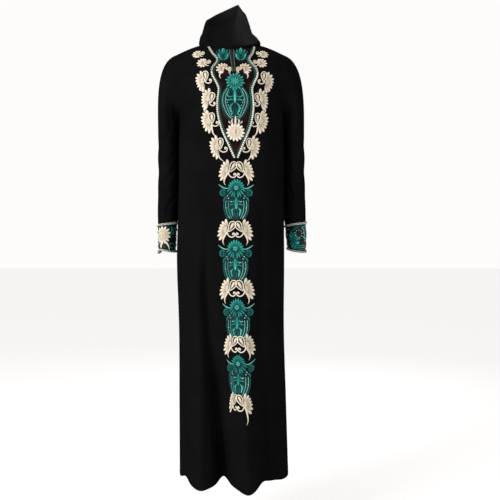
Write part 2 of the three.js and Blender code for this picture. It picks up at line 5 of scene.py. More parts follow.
import bpy
import numpy as np
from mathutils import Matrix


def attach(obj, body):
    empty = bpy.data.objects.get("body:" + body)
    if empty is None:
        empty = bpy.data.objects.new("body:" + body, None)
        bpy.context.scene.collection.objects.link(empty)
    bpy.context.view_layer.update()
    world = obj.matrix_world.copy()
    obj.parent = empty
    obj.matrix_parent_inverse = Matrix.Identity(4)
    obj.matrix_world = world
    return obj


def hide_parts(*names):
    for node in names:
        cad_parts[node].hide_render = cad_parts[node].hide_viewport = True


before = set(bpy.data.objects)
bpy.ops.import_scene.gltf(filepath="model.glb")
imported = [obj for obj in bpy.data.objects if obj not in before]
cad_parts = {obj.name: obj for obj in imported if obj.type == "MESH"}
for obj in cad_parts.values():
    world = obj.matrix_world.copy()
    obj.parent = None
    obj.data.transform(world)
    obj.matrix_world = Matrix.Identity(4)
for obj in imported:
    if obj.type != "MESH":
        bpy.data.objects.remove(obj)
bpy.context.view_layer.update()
scene = bpy.context.scene

# ---- camera, light and floor ----
view = {"distance": 2.05, "height": -0.648, "frameWidth": 1.6, "shiftX": 0.037}
camera = bpy.data.objects.new("camera", bpy.data.cameras.new("camera"))
camera.data.sensor_width = 36
camera.data.lens = 36 * view["distance"] / view["frameWidth"]
camera.data.shift_x = view["shiftX"]
camera.location = (0, -view["distance"], view["height"])
camera.rotation_euler = (math.pi / 2, 0, 0)
scene.collection.objects.link(camera)
scene.camera = camera
scene.view_settings.view_transform = "Standard"

studio = {
    "sky": (0.99, 0.972, 0.965), "skyStrength": 1.0, "floor": (0.45, 0.45, 0.45), "floorGlow": 0.46,
    "floorHeight": -1.56, "floorSide": 60, "lampAim": (0, 0, -0.6),
    "lamps": [  # name, place, size, power
        ("keyLamp", (-2.35, -2.1, 0.2), 1.1, 94),
        ("fillLamp", (2.0, -1.8, -0.2), 1.8, 2),
        ("backLamp", (0.6, 2.4, 0.8), 1.6, 24),
    ],
    "hoodLamp": {"place": (-0.1, -1.9, 0.5), "aim": (0.01, 0.05, 0.095), "cone": 7.0, "power": 130, "blend": 0.7,
                 "size": 0.2},
}


def hangLamp(lamp, place, aim):
    holder = bpy.data.objects.new(lamp.name, lamp)
    holder.location = place
    toObject = np.array(aim) - np.array(place)
    flat = math.hypot(toObject[0], toObject[1])
    holder.rotation_euler = (math.atan2(flat, -toObject[2]), 0, math.atan2(-toObject[0], toObject[1]))
    scene.collection.objects.link(holder)


def lightStudio():
    world = bpy.data.worlds.new("studio")
    world.use_nodes = True
    background = world.node_tree.nodes["Background"]
    background.inputs["Color"].default_value = (*studio["sky"], 1)
    background.inputs["Strength"].default_value = studio["skyStrength"]
    scene.world = world
    for name, place, size, power in studio["lamps"]:
        lamp = bpy.data.lights.new(name, "AREA")
        lamp.energy, lamp.size = power, size
        hangLamp(lamp, place, studio["lampAim"])
    hood = studio["hoodLamp"]
    lamp = bpy.data.lights.new("hoodLamp", "SPOT")
    lamp.energy, lamp.spot_size = hood["power"], math.radians(hood["cone"])
    lamp.spot_blend, lamp.shadow_soft_size = hood["blend"], hood["size"]
    hangLamp(lamp, hood["place"], hood["aim"])
    half = studio["floorSide"] / 2
    mesh = bpy.data.meshes.new("studioFloor")
    corners = [(-half, -half), (half, -half), (half, half), (-half, half)]
    mesh.from_pydata([(x, y, studio["floorHeight"]) for x, y in corners], [], [(0, 1, 2, 3)])
    floor = bpy.data.objects.new("studioFloor", mesh)
    scene.collection.objects.link(floor)
    material, nodes, links, shader = newMaterial("paleFloor")
    shader.inputs["Base Color"].default_value = (*studio["floor"], 1)
    shader.inputs["Roughness"].default_value = 0.9
    shader.inputs["Specular IOR Level"].default_value = 0.1
    shader.inputs["Emission Color"].default_value = (*studio["sky"], 1)
    shader.inputs["Emission Strength"].default_value = studio["floorGlow"]
    mesh.materials.append(material)


# ---- materials ----
def newMaterial(name):
    material = bpy.data.materials.new(name)
    material.use_nodes = True
    nodes, links = material.node_tree.nodes, material.node_tree.links
    return material, nodes, links, nodes["Principled BSDF"]


def addNode(nodes, kind, **settings):
    node = nodes.new(kind)
    for key, value in settings.items():
        if key in node.inputs:
            node.inputs[key].default_value = value
        else:
            setattr(node, key, value)
    return node


def ramp(nodes, links, source, stops):
    node = nodes.new("ShaderNodeValToRGB")
    points = node.color_ramp.elements
    while len(points) < len(stops):
        points.new(0.5)
    for point, (place, colour) in zip(points, stops):
        point.position, point.color = place, (*colour, 1)
    links.new(source, node.inputs["Fac"])
    return node.outputs["Color"]


# facing is a paler black laid on the hood's inner side: painted light that brightens the hood's shaded hollow
crepe = {"dark": (0.0034, 0.0034, 0.0035), "light": (0.0047, 0.0047, 0.0048), "wine": (0.044, 0.008, 0.009),
         "facing": (0.0155, 0.0153, 0.0156), "between": (0.006, 0.006, 0.006), "patch": 9.0, "slub": 260,
         "grain": 1500, "grainDepth": 0.00025, "roughness": 0.7}


def blackCrepe():
    material, nodes, links, shader = newMaterial("blackCrepe")
    coords = nodes.new("ShaderNodeTexCoord").outputs["Object"]
    patch = addNode(nodes, "ShaderNodeTexNoise", Scale=crepe["patch"], Detail=3.0)
    slub = addNode(nodes, "ShaderNodeTexNoise", Scale=crepe["slub"], Detail=4.0)
    grain = addNode(nodes, "ShaderNodeTexNoise", Scale=crepe["grain"], Detail=2.0)
    for texture in (patch, slub, grain):
        links.new(coords, texture.inputs["Vector"])
    cloth = ramp(nodes, links, patch.outputs["Fac"], [(0.3, crepe["dark"]), (0.7, crepe["light"])])
    worked = addNode(nodes, "ShaderNodeAttribute", attribute_name="yokeTint")
    blotch = ramp(nodes, links, slub.outputs["Fac"], [(0.4, crepe["between"]), (0.66, crepe["wine"])])
    mix = addNode(nodes, "ShaderNodeMix", data_type="RGBA")
    links.new(worked.outputs["Fac"], mix.inputs["Factor"])
    links.new(cloth, mix.inputs["A"])
    links.new(blotch, mix.inputs["B"])
    # the lining attribute marks the hood's inner side, which gets the paler black: painted light in its shaded hollow
    inside = addNode(nodes, "ShaderNodeAttribute", attribute_name="lining")
    paintedLightInside = addNode(nodes, "ShaderNodeMix", data_type="RGBA")
    paintedLightInside.inputs["B"].default_value = (*crepe["facing"], 1)
    links.new(inside.outputs["Fac"], paintedLightInside.inputs["Factor"])
    links.new(mix.outputs["Result"], paintedLightInside.inputs["A"])
    links.new(paintedLightInside.outputs["Result"], shader.inputs["Base Color"])
    sumHeight = addNode(nodes, "ShaderNodeMath", operation="ADD")
    links.new(slub.outputs["Fac"], sumHeight.inputs[0])
    links.new(grain.outputs["Fac"], sumHeight.inputs[1])
    relief = addNode(nodes, "ShaderNodeBump", Strength=0.5, Distance=crepe["grainDepth"])
    links.new(sumHeight.outputs[0], relief.inputs["Height"])
    links.new(relief.outputs["Normal"], shader.inputs["Normal"])
    shader.inputs["Roughness"].default_value = crepe["roughness"]
    shader.inputs["Specular IOR Level"].default_value = 0.0
    return material


thread = {"mottle": 420.0, "mottleRange": 0.24, "ridgeDepth": 0.0002, "ridgeStrength": 0.35}


# Satin stitch: threads lie across each shape, so the UV's first axis (mm) carries the ridges.
def threadMaterial(name, stops, roughness=0.46, threadWidth=0.5, specular=0.12):
    material, nodes, links, shader = newMaterial(name)
    stitches = nodes.new("ShaderNodeUVMap")
    stitches.uv_map = "stitches"
    shade = addNode(nodes, "ShaderNodeAttribute", attribute_name="shade")
    mottle = addNode(nodes, "ShaderNodeTexNoise", Scale=thread["mottle"], Detail=3.0)
    links.new(nodes.new("ShaderNodeTexCoord").outputs["Object"], mottle.inputs["Vector"])
    vary = addNode(nodes, "ShaderNodeMath", operation="MULTIPLY_ADD")
    vary.inputs[1].default_value = thread["mottleRange"]
    vary.inputs[2].default_value = -thread["mottleRange"] / 2
    links.new(mottle.outputs["Fac"], vary.inputs[0])
    total = addNode(nodes, "ShaderNodeMath", operation="ADD", use_clamp=True)
    links.new(shade.outputs["Fac"], total.inputs[0])
    links.new(vary.outputs[0], total.inputs[1])
    links.new(ramp(nodes, links, total.outputs[0], stops), shader.inputs["Base Color"])
    strands = addNode(nodes, "ShaderNodeTexWave", bands_direction="X", Scale=math.pi / 10 / threadWidth,
                      Distortion=1.2, Detail=1.0)
    links.new(stitches.outputs["UV"], strands.inputs["Vector"])
    relief = addNode(nodes, "ShaderNodeBump", Strength=thread["ridgeStrength"], Distance=thread["ridgeDepth"])
    links.new(strands.outputs["Fac"], relief.inputs["Height"])
    links.new(relief.outputs["Normal"], shader.inputs["Normal"])
    shader.inputs["Roughness"].default_value = roughness
    shader.inputs["Specular IOR Level"].default_value = specular
    return material


def pearlMaterial():
    material, nodes, links, shader = newMaterial("pearlBead")
    tone = addNode(nodes, "ShaderNodeTexNoise", Scale=90.0, Detail=2.0)
    links.new(nodes.new("ShaderNodeTexCoord").outputs["Object"], tone.inputs["Vector"])
    stops = [(0.35, (0.60, 0.62, 0.56)), (0.65, (0.80, 0.80, 0.75))]
    links.new(ramp(nodes, links, tone.outputs["Fac"], stops), shader.inputs["Base Color"])
    shader.inputs["Roughness"].default_value = 0.25
    return material


looks = {
    "crepe": blackCrepe(),
    "cream": threadMaterial("creamThread", [
        (0.0, (0.035, 0.024, 0.015)), (0.35, (0.20, 0.155, 0.105)), (0.65, (0.46, 0.39, 0.29)),
        (1.0, (0.67, 0.62, 0.515))], specular=0.15),
    "blush": threadMaterial("blushThread", [
        (0.0, (0.09, 0.03, 0.03)), (0.4, (0.36, 0.16, 0.14)), (1.0, (0.66, 0.44, 0.40))]),
    "teal": threadMaterial("tealThread", [
        (0.0, (0.0004, 0.005, 0.005)), (0.35, (0.001, 0.036, 0.034)), (0.65, (0.003, 0.125, 0.11)),
        (0.85, (0.018, 0.27, 0.225)), (1.0, (0.24, 0.50, 0.45))]),
    "green": threadMaterial("darkGreenThread", [
        (0.0, (0.001, 0.005, 0.007)), (0.5, (0.004, 0.028, 0.020)), (1.0, (0.025, 0.14, 0.082))]),
    "satin": threadMaterial("cuffSatin", [
        (0.0, (0.0010, 0.0030, 0.004)), (0.5, (0.002, 0.018, 0.016)), (1.0, (0.01, 0.06, 0.05))], roughness=0.5),
    "cord": threadMaterial("twistedCord", [
        (0.0, (0.016, 0.024, 0.016)), (0.5, (0.22, 0.235, 0.18)), (1.0, (0.60, 0.61, 0.53))], threadWidth=0.7,
        specular=0.2),
    "pearl": pearlMaterial(),
}
lightStudio()
print("stage and materials ready")


# ---- form of the garment ----
def table(columns, rows):
    return dict(zip(columns.split(), np.array(rows, float).T))


def lerp(a, b, share):
    return a + (b - a) * share


def bump(distance):
    return np.exp(-distance ** 2)


def signedPower(value, power):
    return np.sign(value) * np.abs(value) ** power


def ease(value):
    return value * value * (3 - 2 * value)


def hermite(start, end, startSlope, endSlope, share):
    s2, s3 = share ** 2, share ** 3
    return ((2 * s3 - 3 * s2 + 1) * start + (s3 - 2 * s2 + share) * startSlope
            + (3 * s2 - 2 * s3) * end + (s3 - s2) * endSlope)


def columnAt(rows, key, column, place):
    keys, values = rows[key], rows[column]
    way = np.sign(keys[-1] - keys[0])
    place = np.clip(np.asarray(place, float) * way, keys[0] * way, keys[-1] * way) * way
    i = np.clip(np.searchsorted(keys * way, place * way, side="right") - 1, 0, len(keys) - 2)
    after = np.minimum(np.arange(len(keys)) + 1, len(keys) - 1)
    before = np.maximum(np.arange(len(keys)) - 1, 0)
    slopes = (values[after] - values[before]) / (keys[after] - keys[before])
    span = keys[i + 1] - keys[i]
    share = (place - keys[i]) / span
    return hermite(values[i], values[i + 1], slopes[i] * span, slopes[i + 1] * span, share)


body = {
    "wall": 1.4, "hemWall": 2.8, "seamGap": 0.3, "hemHeight": -1358, "hemTurnUp": 22, "hemSwing": 0.2,
    "underarm": -240, "shoulderHalf": 172, "shoulderDrop": 26, "shoulderCurve": 1.25, "shoulderRound": 70,
    "topCentreX": -5, "neckHalf": 99, "neckDepth": {"front": 80, "back": 60}, "planPower": 2.3, "foldGrowth": 1.25,
    "sections": table("z centreX halfWidth front back frontEdge backEdge round", [
        (-70, -3, 157, 97, 88, 61, 59, 1.1),
        (-95, -3, 155, 105, 92, 62, 60, 1.1),
        (-150, -2, 152, 121, 99, 60, 58, 1.2),
        (-195, -1, 156, 130, 103, 45, 43, 1.5),
        (-240, 0, 166, 137, 106, 0, 0, 2.3),
        (-420, 0, 168, 140, 112, 0, 0, 2.3),
        (-565, -2, 169.5, 142, 117, 0, 0, 2.3),
        (-680, -3, 171, 142, 119, 0, 0, 2.3),
        (-900, 0, 167, 140, 122, 0, 0, 2.3),
        (-1130, 4, 170, 132, 120, 0, 0, 2.3),
        (-1358, 8, 173, 118, 112, 0, 0, 2.3)]),
    "folds": {  # startZ, startX, hemX, halfWidth, depth
        "front": [(-260, -98, -104, 37, 42), (-800, -150, -152, 12, -34), (-560, -84, -32, 18, -53),
                  (-430, 26, 42, 36, 54), (-640, 84, 90, 17, -20), (-760, 118, 122, 22, -12)],
        "back": [(-330, -112, -116, 30, 26), (-620, -66, -72, 18, -34), (-380, -22, -26, 38, 40),
                 (-560, 34, 30, 19, -42), (-450, 84, 88, 36, 34)]},
    "creases": {  # x and z of both ends, bend, width, depth (a trough, or a ridge where it is negative)
        "front": [
            (-150, -205, -112, -330, 10, 9, 4.5), (-144, -236, -122, -420, -6, 11, 4.0),
            (-158, -262, -140, -350, 4, 7, 3.0), (150, -214, 122, -300, -8, 9, 4.5),
            (146, -250, 128, -420, 5, 12, 4.0), (158, -280, 146, -372, -3, 8, 2.6),
            (-118, -92, -104, -190, 6, 12, 2.2), (112, -90, 98, -176, -7, 12, 2.2),
            (-84, -640, -58, -1090, 8, 15, 5.5), (-128, -430, -112, -760, -8, 13, 3.5),
            (-92, -520, -88, -860, 10, 12, -2.6), (-70, -600, -66, -930, 6, 10, 3.0), (104, -470, 96, -790, 9, 14, 3.2),
            (70, -560, 72, -900, -6, 12, -2.4), (138, -640, 140, -1010, 4, 12, 3.6),
            (-140, -800, -132, -1180, 7, 11, 3.0), (56, -930, 60, -1250, -8, 11, 3.0),
            (-20, -900, -12, -1300, 8, 12, -3.0), (100, -1060, 104, -1340, 6, 12, 3.4),
            (-78, -1090, -82, -1350, -5, 10, 2.8), (148, -1120, 150, -1345, 3, 9, 2.4),
            (-30, -262, -36, -350, 5, 12, 1.2), (60, -230, 64, -330, -5, 12, 1.2)],
        "back": [
            (-150, -210, -104, -318, 9, 10, 4.5), (-140, -250, -120, -430, -7, 12, 3.8),
            (148, -206, 108, -322, -10, 10, 4.2), (140, -252, 120, -400, 6, 12, 3.6),
            (-96, -96, -40, -150, 12, 13, 2.6), (90, -96, 36, -160, -12, 13, 2.6),
            (-60, -300, -66, -620, 8, 13, 3.2), (48, -340, 44, -700, -9, 13, 3.2),
            (-4, -480, -8, -860, 6, 12, -2.8), (104, -560, 110, -930, -6, 12, 3.2),
            (-128, -620, -134, -980, 5, 11, 3.0), (-46, -840, -50, -1250, -8, 12, 3.2),
            (68, -880, 62, -1290, 7, 12, -2.8), (132, -980, 138, -1330, -4, 10, 3.0),
            (-96, -1000, -100, -1340, 6, 11, 2.8), (14, -1020, 10, -1340, -7, 11, 3.0)]},
}


def bodyAt(column, z):
    return columnAt(body["sections"], "z", column, z)


def shoulderLine(across):
    past = np.maximum(np.abs(across) * body["shoulderHalf"] - body["neckHalf"], 0)
    return -body["shoulderDrop"] * (past / (body["shoulderHalf"] - body["neckHalf"])) ** body["shoulderCurve"]


def foldDepth(panel, x, z):
    depth = 0
    for startZ, startX, hemX, halfWidth, high in body["folds"][panel]:
        grown = np.clip((startZ - z) / (startZ - body["hemHeight"]), 0, 1.1)
        depth = depth + high * grown ** body["foldGrowth"] * bump((x - lerp(startX, hemX, grown)) / halfWidth)
    return depth


# Soft troughs and ridges along bent lines, each with a low shoulder beside it.
def creaseHeight(creases, x, z):
    height = 0
    for x0, z0, x1, z1, bend, width, depth in creases:
        length = math.hypot(x1 - x0, z1 - z0)
        alongX, alongZ = (x1 - x0) / length, (z1 - z0) / length
        t = ((x - x0) * alongX + (z - z0) * alongZ) / length
        bow = bend * np.sin(np.pi * np.clip(t, 0, 1))
        off = ((x - x0) * alongZ - (z - z0) * alongX - bow) / width
        fade = np.where((t > 0) & (t < 1), np.sin(np.pi * np.clip(t, 0, 1)) ** 0.8, 0)
        height = height - depth * fade * (bump(off) - 0.35 * bump((off - 1.9) / 1.1) - 0.2 * bump((off + 1.9) / 1.1))
    return height


def panelDepth(panel, across, z):
    edge = bodyAt(panel + "Edge", z)
    curve = np.maximum(1 - np.abs(across) ** body["planPower"], 0) ** (1 / bodyAt("round", z))
    folds = foldDepth(panel, across * bodyAt("halfWidth", z), z) * (1 - across ** 6)
    return edge + (bodyAt(panel, z) - edge) * curve + folds


def neckTurn(panel, across, depth):
    share = np.minimum(np.abs(across) * body["shoulderHalf"] / body["neckHalf"], 1)
    neckY = body["neckDepth"][panel] * np.sqrt(1 - share ** 2)
    return np.arccos(np.clip(neckY / np.maximum(depth, 1e-6), 0, 1))


def creased(panel, across, x, z, turn):
    return creaseHeight(body["creases"][panel], x, z) * (1 - np.abs(across) ** 6) * np.cos(turn)


# Level runs 0 at the hem, 1 at the underarm, 1.5 where the shoulder rounds over, 2 at the top.
def bodyPoint(panel, angle, level, plain=False):
    facing = -1 if panel == "front" else 1
    across = signedPower(np.sin(angle), 2 / body["planPower"])
    capBase = shoulderLine(across) - body["shoulderRound"]
    hemX = across * bodyAt("halfWidth", body["hemHeight"])
    hem = body["hemHeight"] - body["hemSwing"] * foldDepth(panel, hemX, body["hemHeight"])
    low = np.where(level <= 1, lerp(hem, body["underarm"], level),
                   lerp(body["underarm"], capBase, np.clip((level - 1) * 2, 0, 1)))
    depth = panelDepth(panel, across, low)
    share = np.clip((level - 1.5) * 2, 0, 1)
    turn = neckTurn(panel, across, depth) * share
    x = (lerp(bodyAt("centreX", low), body["topCentreX"], share)
         + across * lerp(bodyAt("halfWidth", low), body["shoulderHalf"], share ** 1.5))
    z = low + body["shoulderRound"] * np.sin(turn)
    y = depth * np.cos(turn) + (0 if plain else creased(panel, across, x, z, turn))
    return np.stack(np.broadcast_arrays(x, facing * y, z), axis=-1)


# How far the front stands out at a place given by x and z.
def frontDepth(x, z):
    across = (x - bodyAt("centreX", z)) / bodyAt("halfWidth", z)
    for _ in range(8):
        across = np.clip(across, -0.995, 0.995)
        low = np.minimum(z, shoulderLine(across) - body["shoulderRound"])
        depth = panelDepth("front", across, low)
        turn = np.arcsin(np.clip((z - low) / body["shoulderRound"], 0, 1))
        share = np.minimum(turn / neckTurn("front", across, depth), 1)
        across = (x - lerp(bodyAt("centreX", low), body["topCentreX"], share)) / lerp(
            bodyAt("halfWidth", low), body["shoulderHalf"], share ** 1.5)
    return depth * np.cos(turn) + creased("front", across, x, z, turn)


def onFront(places):
    x, z = places[:, 0], places[:, 1]
    step = 1.5
    depth = frontDepth(x, z)
    slopeX = (frontDepth(x + step, z) - frontDepth(x - step, z)) / (2 * step)
    slopeZ = (frontDepth(x, z + step) - frontDepth(x, z - step)) / (2 * step)
    outward = np.stack([-slopeX, -np.ones_like(x), -slopeZ], axis=-1)
    outward /= np.linalg.norm(outward, axis=-1, keepdims=True)
    return np.stack([x, -depth, z], axis=-1), outward


# ---- meshes ----
sharpAngle = math.radians(55)


def makePiece(name, points, faces, material, uv, values):
    points = np.asarray(points, float) / 1000
    mesh = bpy.data.meshes.new(name)
    mesh.from_pydata(points.tolist(), [], [tuple(map(int, face)) for face in faces])
    loops = np.zeros(len(mesh.loops), np.int32)
    mesh.loops.foreach_get("vertex_index", loops)
    mesh.uv_layers.new(name="stitches").data.foreach_set("uv", np.asarray(uv)[loops].astype(np.float32).ravel())
    for key, column in values.items():
        layer = mesh.attributes.new(key, "FLOAT", "POINT")
        layer.data.foreach_set("value", np.asarray(column, np.float32))
    mesh.materials.append(material)
    mesh.shade_smooth()
    mesh.set_sharp_from_angle(angle=sharpAngle)
    piece = bpy.data.objects.new(name, mesh)
    scene.collection.objects.link(piece)
    return piece


def gridNormals(grid, closed):
    padded = np.concatenate([grid[:, -1:], grid, grid[:, :1]], 1) if closed else grid
    along = np.gradient(padded, axis=0)
    round_ = np.gradient(padded, axis=1)
    normal = np.cross(along, round_)
    normal = normal[:, 1:-1] if closed else normal
    return normal / np.maximum(np.linalg.norm(normal, axis=-1, keepdims=True), 1e-9)


def wallFaces(rows, columns, closed):
    place = np.arange(2 * rows * columns).reshape(2, rows, columns)
    if closed:
        place = np.concatenate([place, place[:, :, :1]], axis=2)

    def quads(a):
        return np.stack([a[:-1, :-1], a[:-1, 1:], a[1:, 1:], a[1:, :-1]], -1).reshape(-1, 4)

    outer, inner = place
    faces = [quads(outer), quads(inner)[:, ::-1], quads(np.stack([inner[0], outer[0]])),
             quads(np.stack([outer[-1], inner[-1]]))]
    if not closed:
        faces += [quads(np.stack([outer[:, 0], inner[:, 0]])), quads(np.stack([inner[:, -1], outer[:, -1]]))]
    return np.concatenate(faces)


def volumeOf(points, quads):
    a, b, c, d = (points[quads[:, i]] for i in range(4))
    return (np.einsum("ij,ij->i", a, np.cross(b, c)) + np.einsum("ij,ij->i", a, np.cross(c, d))).sum() / 6


def wallPiece(name, face, lining, closed, values=None, material="crepe", paintedLightInside=False):
    rows, columns = face.shape[:2]
    points = np.concatenate([face.reshape(-1, 3), lining.reshape(-1, 3)])
    quads = wallFaces(rows, columns, closed)
    if volumeOf(points, quads) < 0:
        quads = quads[:, ::-1]
    both = {key: np.tile(column.ravel(), 2) for key, column in (values or {}).items()}
    # the inner side gets the paler black of the hood: painted light
    if paintedLightInside:
        both["lining"] = np.repeat([0.0, 1.0], rows * columns)
    return makePiece(name, points, [tuple(q) for q in quads], looks[material], uv=points[:, :2], values=both)


def clothArea(face):
    across = np.linalg.norm(np.diff(face, axis=1), axis=-1)
    along = np.linalg.norm(np.diff(face, axis=0), axis=-1)
    width, length = across.sum(1).max() / 1000, along.sum(0).max() / 1000
    cell = np.linalg.norm(np.cross(face[1:, :-1] - face[:-1, :-1], face[:-1, 1:] - face[:-1, :-1]), axis=-1)
    return round(width, 3), round(length, 3), round(cell.sum() / 1e6, 4)


def declareSheet(piece, face, node, sizes=None):
    width, length, area = clothArea(face)
    width, length = sizes or (width, length)
    area = min(area, 0.999 * width * length)
    print(f"{piece.name}: {width} x {length} m, area {area} m2, share {area / width / length}")
    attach(piece, "root")
    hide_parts(node)


# ---- yoke outline ----
yoke = {
    "outline": table("z half centreX", [
        (-25, 70, 0), (-48, 61, 3), (-64, 49, 5), (-77, 52, 7), (-95, 66, 8), (-117, 68, 10), (-143, 57, 11),
        (-163, 50, 11.5), (-200, 53, 11.5), (-229, 53, 11.5), (-257, 48.5, 11.5), (-294, 38, 12),
        (-332, 22, 12.5), (-372, 5.2, 13.5)]),
    "cordRadius": 3.4, "twist": 13.0, "beadRadius": 2.4, "beadSpacing": 6.6, "beadsFrom": -112,
    "beadLift": 1.2, "bandWidth": 5.5,
    "winePatches": [  # x, z, radius
        (-24, -52, 13), (33, -52, 13), (-25, -104, 14), (44, -102, 14), (-24, -246, 13), (47, -246, 13),
        (12, -345, 13), (-17, -290, 9), (41, -290, 9), (-36, -150, 9), (56, -150, 9)],
}


def yokeEdge(way, z, inset=0):
    outline = yoke["outline"]
    half = columnAt(outline, "z", "half", z) - inset
    return columnAt(outline, "z", "centreX", z) + way * half


# ---- panels ----
panels = {"columns": 150, "lowRows": 150, "highRows": 62}


def panelGrid(panel):
    facing = -1 if panel == "front" else 1
    height = body["underarm"] - body["hemHeight"]
    turned = np.array([0, 0.35, 0.8, 1, 1.12]) * body["hemTurnUp"] / height
    levels = np.concatenate([
        turned, np.linspace(turned[-1], 1, panels["lowRows"])[1:], np.linspace(1, 2, panels["highRows"])[1:]])
    angles = np.linspace(-math.pi / 2, math.pi / 2, panels["columns"])
    face = bodyPoint(panel, angles[None, :], levels[:, None])

    def keepSide(grid):
        grid[..., 1] = facing * np.maximum(facing * grid[..., 1], 0)
        return grid

    face = keepSide(face)
    inward = -facing * gridNormals(face, False)
    onSeam = np.abs(face[..., 1]) < body["seamGap"]
    inward[onSeam, 1] = 0
    inward /= np.maximum(np.linalg.norm(inward, axis=-1, keepdims=True), 1e-6)
    wall = lerp(body["hemWall"], body["wall"], ease(np.clip(levels / turned[-1] * 3 - 2, 0, 1)))[:, None, None]
    return face, keepSide(face + inward * wall)


grids = {panel: panelGrid(panel) for panel in ("front", "back")}
face, lining = grids["front"]
x, z = face[..., 0], face[..., 2]
inside = np.minimum(x - yokeEdge(-1, z), yokeEdge(1, z) - x)
tint = sum(bump(np.hypot(x - px, z - pz) / radius) for px, pz, radius in yoke["winePatches"])
tint = np.clip(inside / 6, 0, 1) * np.clip(tint + 0.12, 0, 1) * (z > yoke["outline"]["z"][-1])
abayaFront = wallPiece("abayaFront", face, lining, False, {"yokeTint": tint})
declareSheet(abayaFront, face, "front")
face, lining = grids["back"]
abayaBack = wallPiece("abayaBack", face, lining, False)
declareSheet(abayaBack, face, "back")
print("front and back made")

# ---- sleeves and cuffs ----
sleeve = {
    "power": 2.2, "meet": 0.04, "bicep": -275, "ringSteps": 44, "capRows": 26, "armRows": 90,
    "pull": 0.9, "lowPull": 1.6, "spread": (0.75, 0.3), "underarmLean": (0.25, -1.2),  # how the cap leaves its seam
    "plainBelow": -566, "plainOver": 40, "plainInside": 32,  # where the fine creases fade out
    "sections": table("z leftOuter leftInner rightOuter rightInner centreY halfDepth", [
        (-275, 235.5, 167.6, 233, 167.6, 14, 66), (-430, 237, 169.2, 237, 169.2, 18, 58),
        (-535, 237.5, 171.2, 239, 167.8, 20, 52), (-560, 237, 175.4, 239.5, 171.8, 20, 49),
        (-610, 236, 178.8, 240, 177.5, 20, 47), (-660, 234, 181, 238, 184, 20, 46)]),
    "mainCreases": [  # z, around, halfHeight, depth
        (-318, 90, 20, 7), (-398, 60, 26, 5), (-476, 95, 22, 6), (-300, 270, 24, 6), (-440, 280, 26, 5)],
    "creases": {  # around and z of both ends, bend, width, depth
        "left": [
            (150, -250, 60, -330, 10, 8, 2.8), (170, -290, 90, -372, -8, 8, 2.4), (40, -300, 110, -392, 9, 9, -2.0),
            (160, -380, 70, -452, 8, 9, 2.6), (30, -430, 120, -500, -7, 9, 2.2), (155, -470, 80, -536, 7, 8, 2.4),
            (95, -500, 100, -560, 3, 8, 1.8), (300, -270, 220, -360, 9, 10, 2.6), (330, -370, 250, -440, -8, 10, 2.4),
            (230, -430, 310, -520, 8, 10, 2.2), (345, -480, 280, -545, 6, 9, 2.0)],
        "right": [
            (155, -262, 70, -322, 8, 8, 2.6), (150, -330, 84, -430, -9, 9, 2.6), (50, -290, 112, -352, 8, 9, -2.0),
            (164, -410, 96, -520, 8, 9, 3.0), (36, -400, 100, -470, -7, 9, 2.2), (50, -490, 120, -548, 6, 8, 2.2),
            (305, -280, 225, -350, 9, 10, 2.6), (335, -350, 255, -430, -8, 10, 2.4),
            (235, -440, 300, -500, 8, 10, 2.2), (340, -500, 285, -552, 5, 9, 1.8)]},
}
cuff = {
    "wall": 2.0, "rows": 16, "satinShade": 0.3, "cordRadius": 2.2, "cordDepth": 1.7,
    "cordSpread": 1.9, "cordTwist": 9.0, "height": 82, "middle": (208, 20, -607), "cornerAround": -8, "cornerPower": 4,
    "left": {"top": (-566, -5, 0, 0), "bottom": (-650, 5, -3, 15)},
    "right": {"top": (-566, 6, 0, 0), "bottom": (-650, -4, -6, 0)},
}


def sleevePoint(side, around, z, standOut, plain=False):
    sections = sleeve["sections"]
    outer, inner = columnAt(sections, "z", side + "Outer", z), columnAt(sections, "z", side + "Inner", z)
    turn = np.radians(around)
    grow = standOut
    for height, where, halfHeight, depth in sleeve["mainCreases"]:
        towards = (1 + np.cos(turn - math.radians(where))) / 2
        grow = grow - depth * bump((z - height) / halfHeight) * towards ** 3
    if not plain:
        wrapped = np.mod(around, 360)
        fade = np.clip((z - sleeve["plainBelow"]) / sleeve["plainOver"], 0, 1)
        fade = fade * (1 - bump((wrapped - 180) / sleeve["plainInside"]))
        grow = grow + creaseHeight(sleeve["creases"][side], wrapped, z) * fade
    cos, sin = signedPower(np.cos(turn), 2 / sleeve["power"]), signedPower(np.sin(turn), 2 / sleeve["power"])
    x = (outer + inner) / 2 + ((outer - inner) / 2 + grow) * cos
    y = columnAt(sections, "z", "centreY", z) - (columnAt(sections, "z", "halfDepth", z) + grow) * sin
    way = -1 if side == "left" else 1
    return np.stack(np.broadcast_arrays(way * x, y, z), axis=-1)


def cuffEdge(side, edge, around):
    middle, outer, front, corner = cuff[side][edge]
    turn = np.radians(around)
    hang = np.maximum(np.cos(turn - math.radians(cuff["cornerAround"])), 0) ** cuff["cornerPower"]
    return middle + outer * np.cos(turn) + front * np.sin(turn) - corner * hang


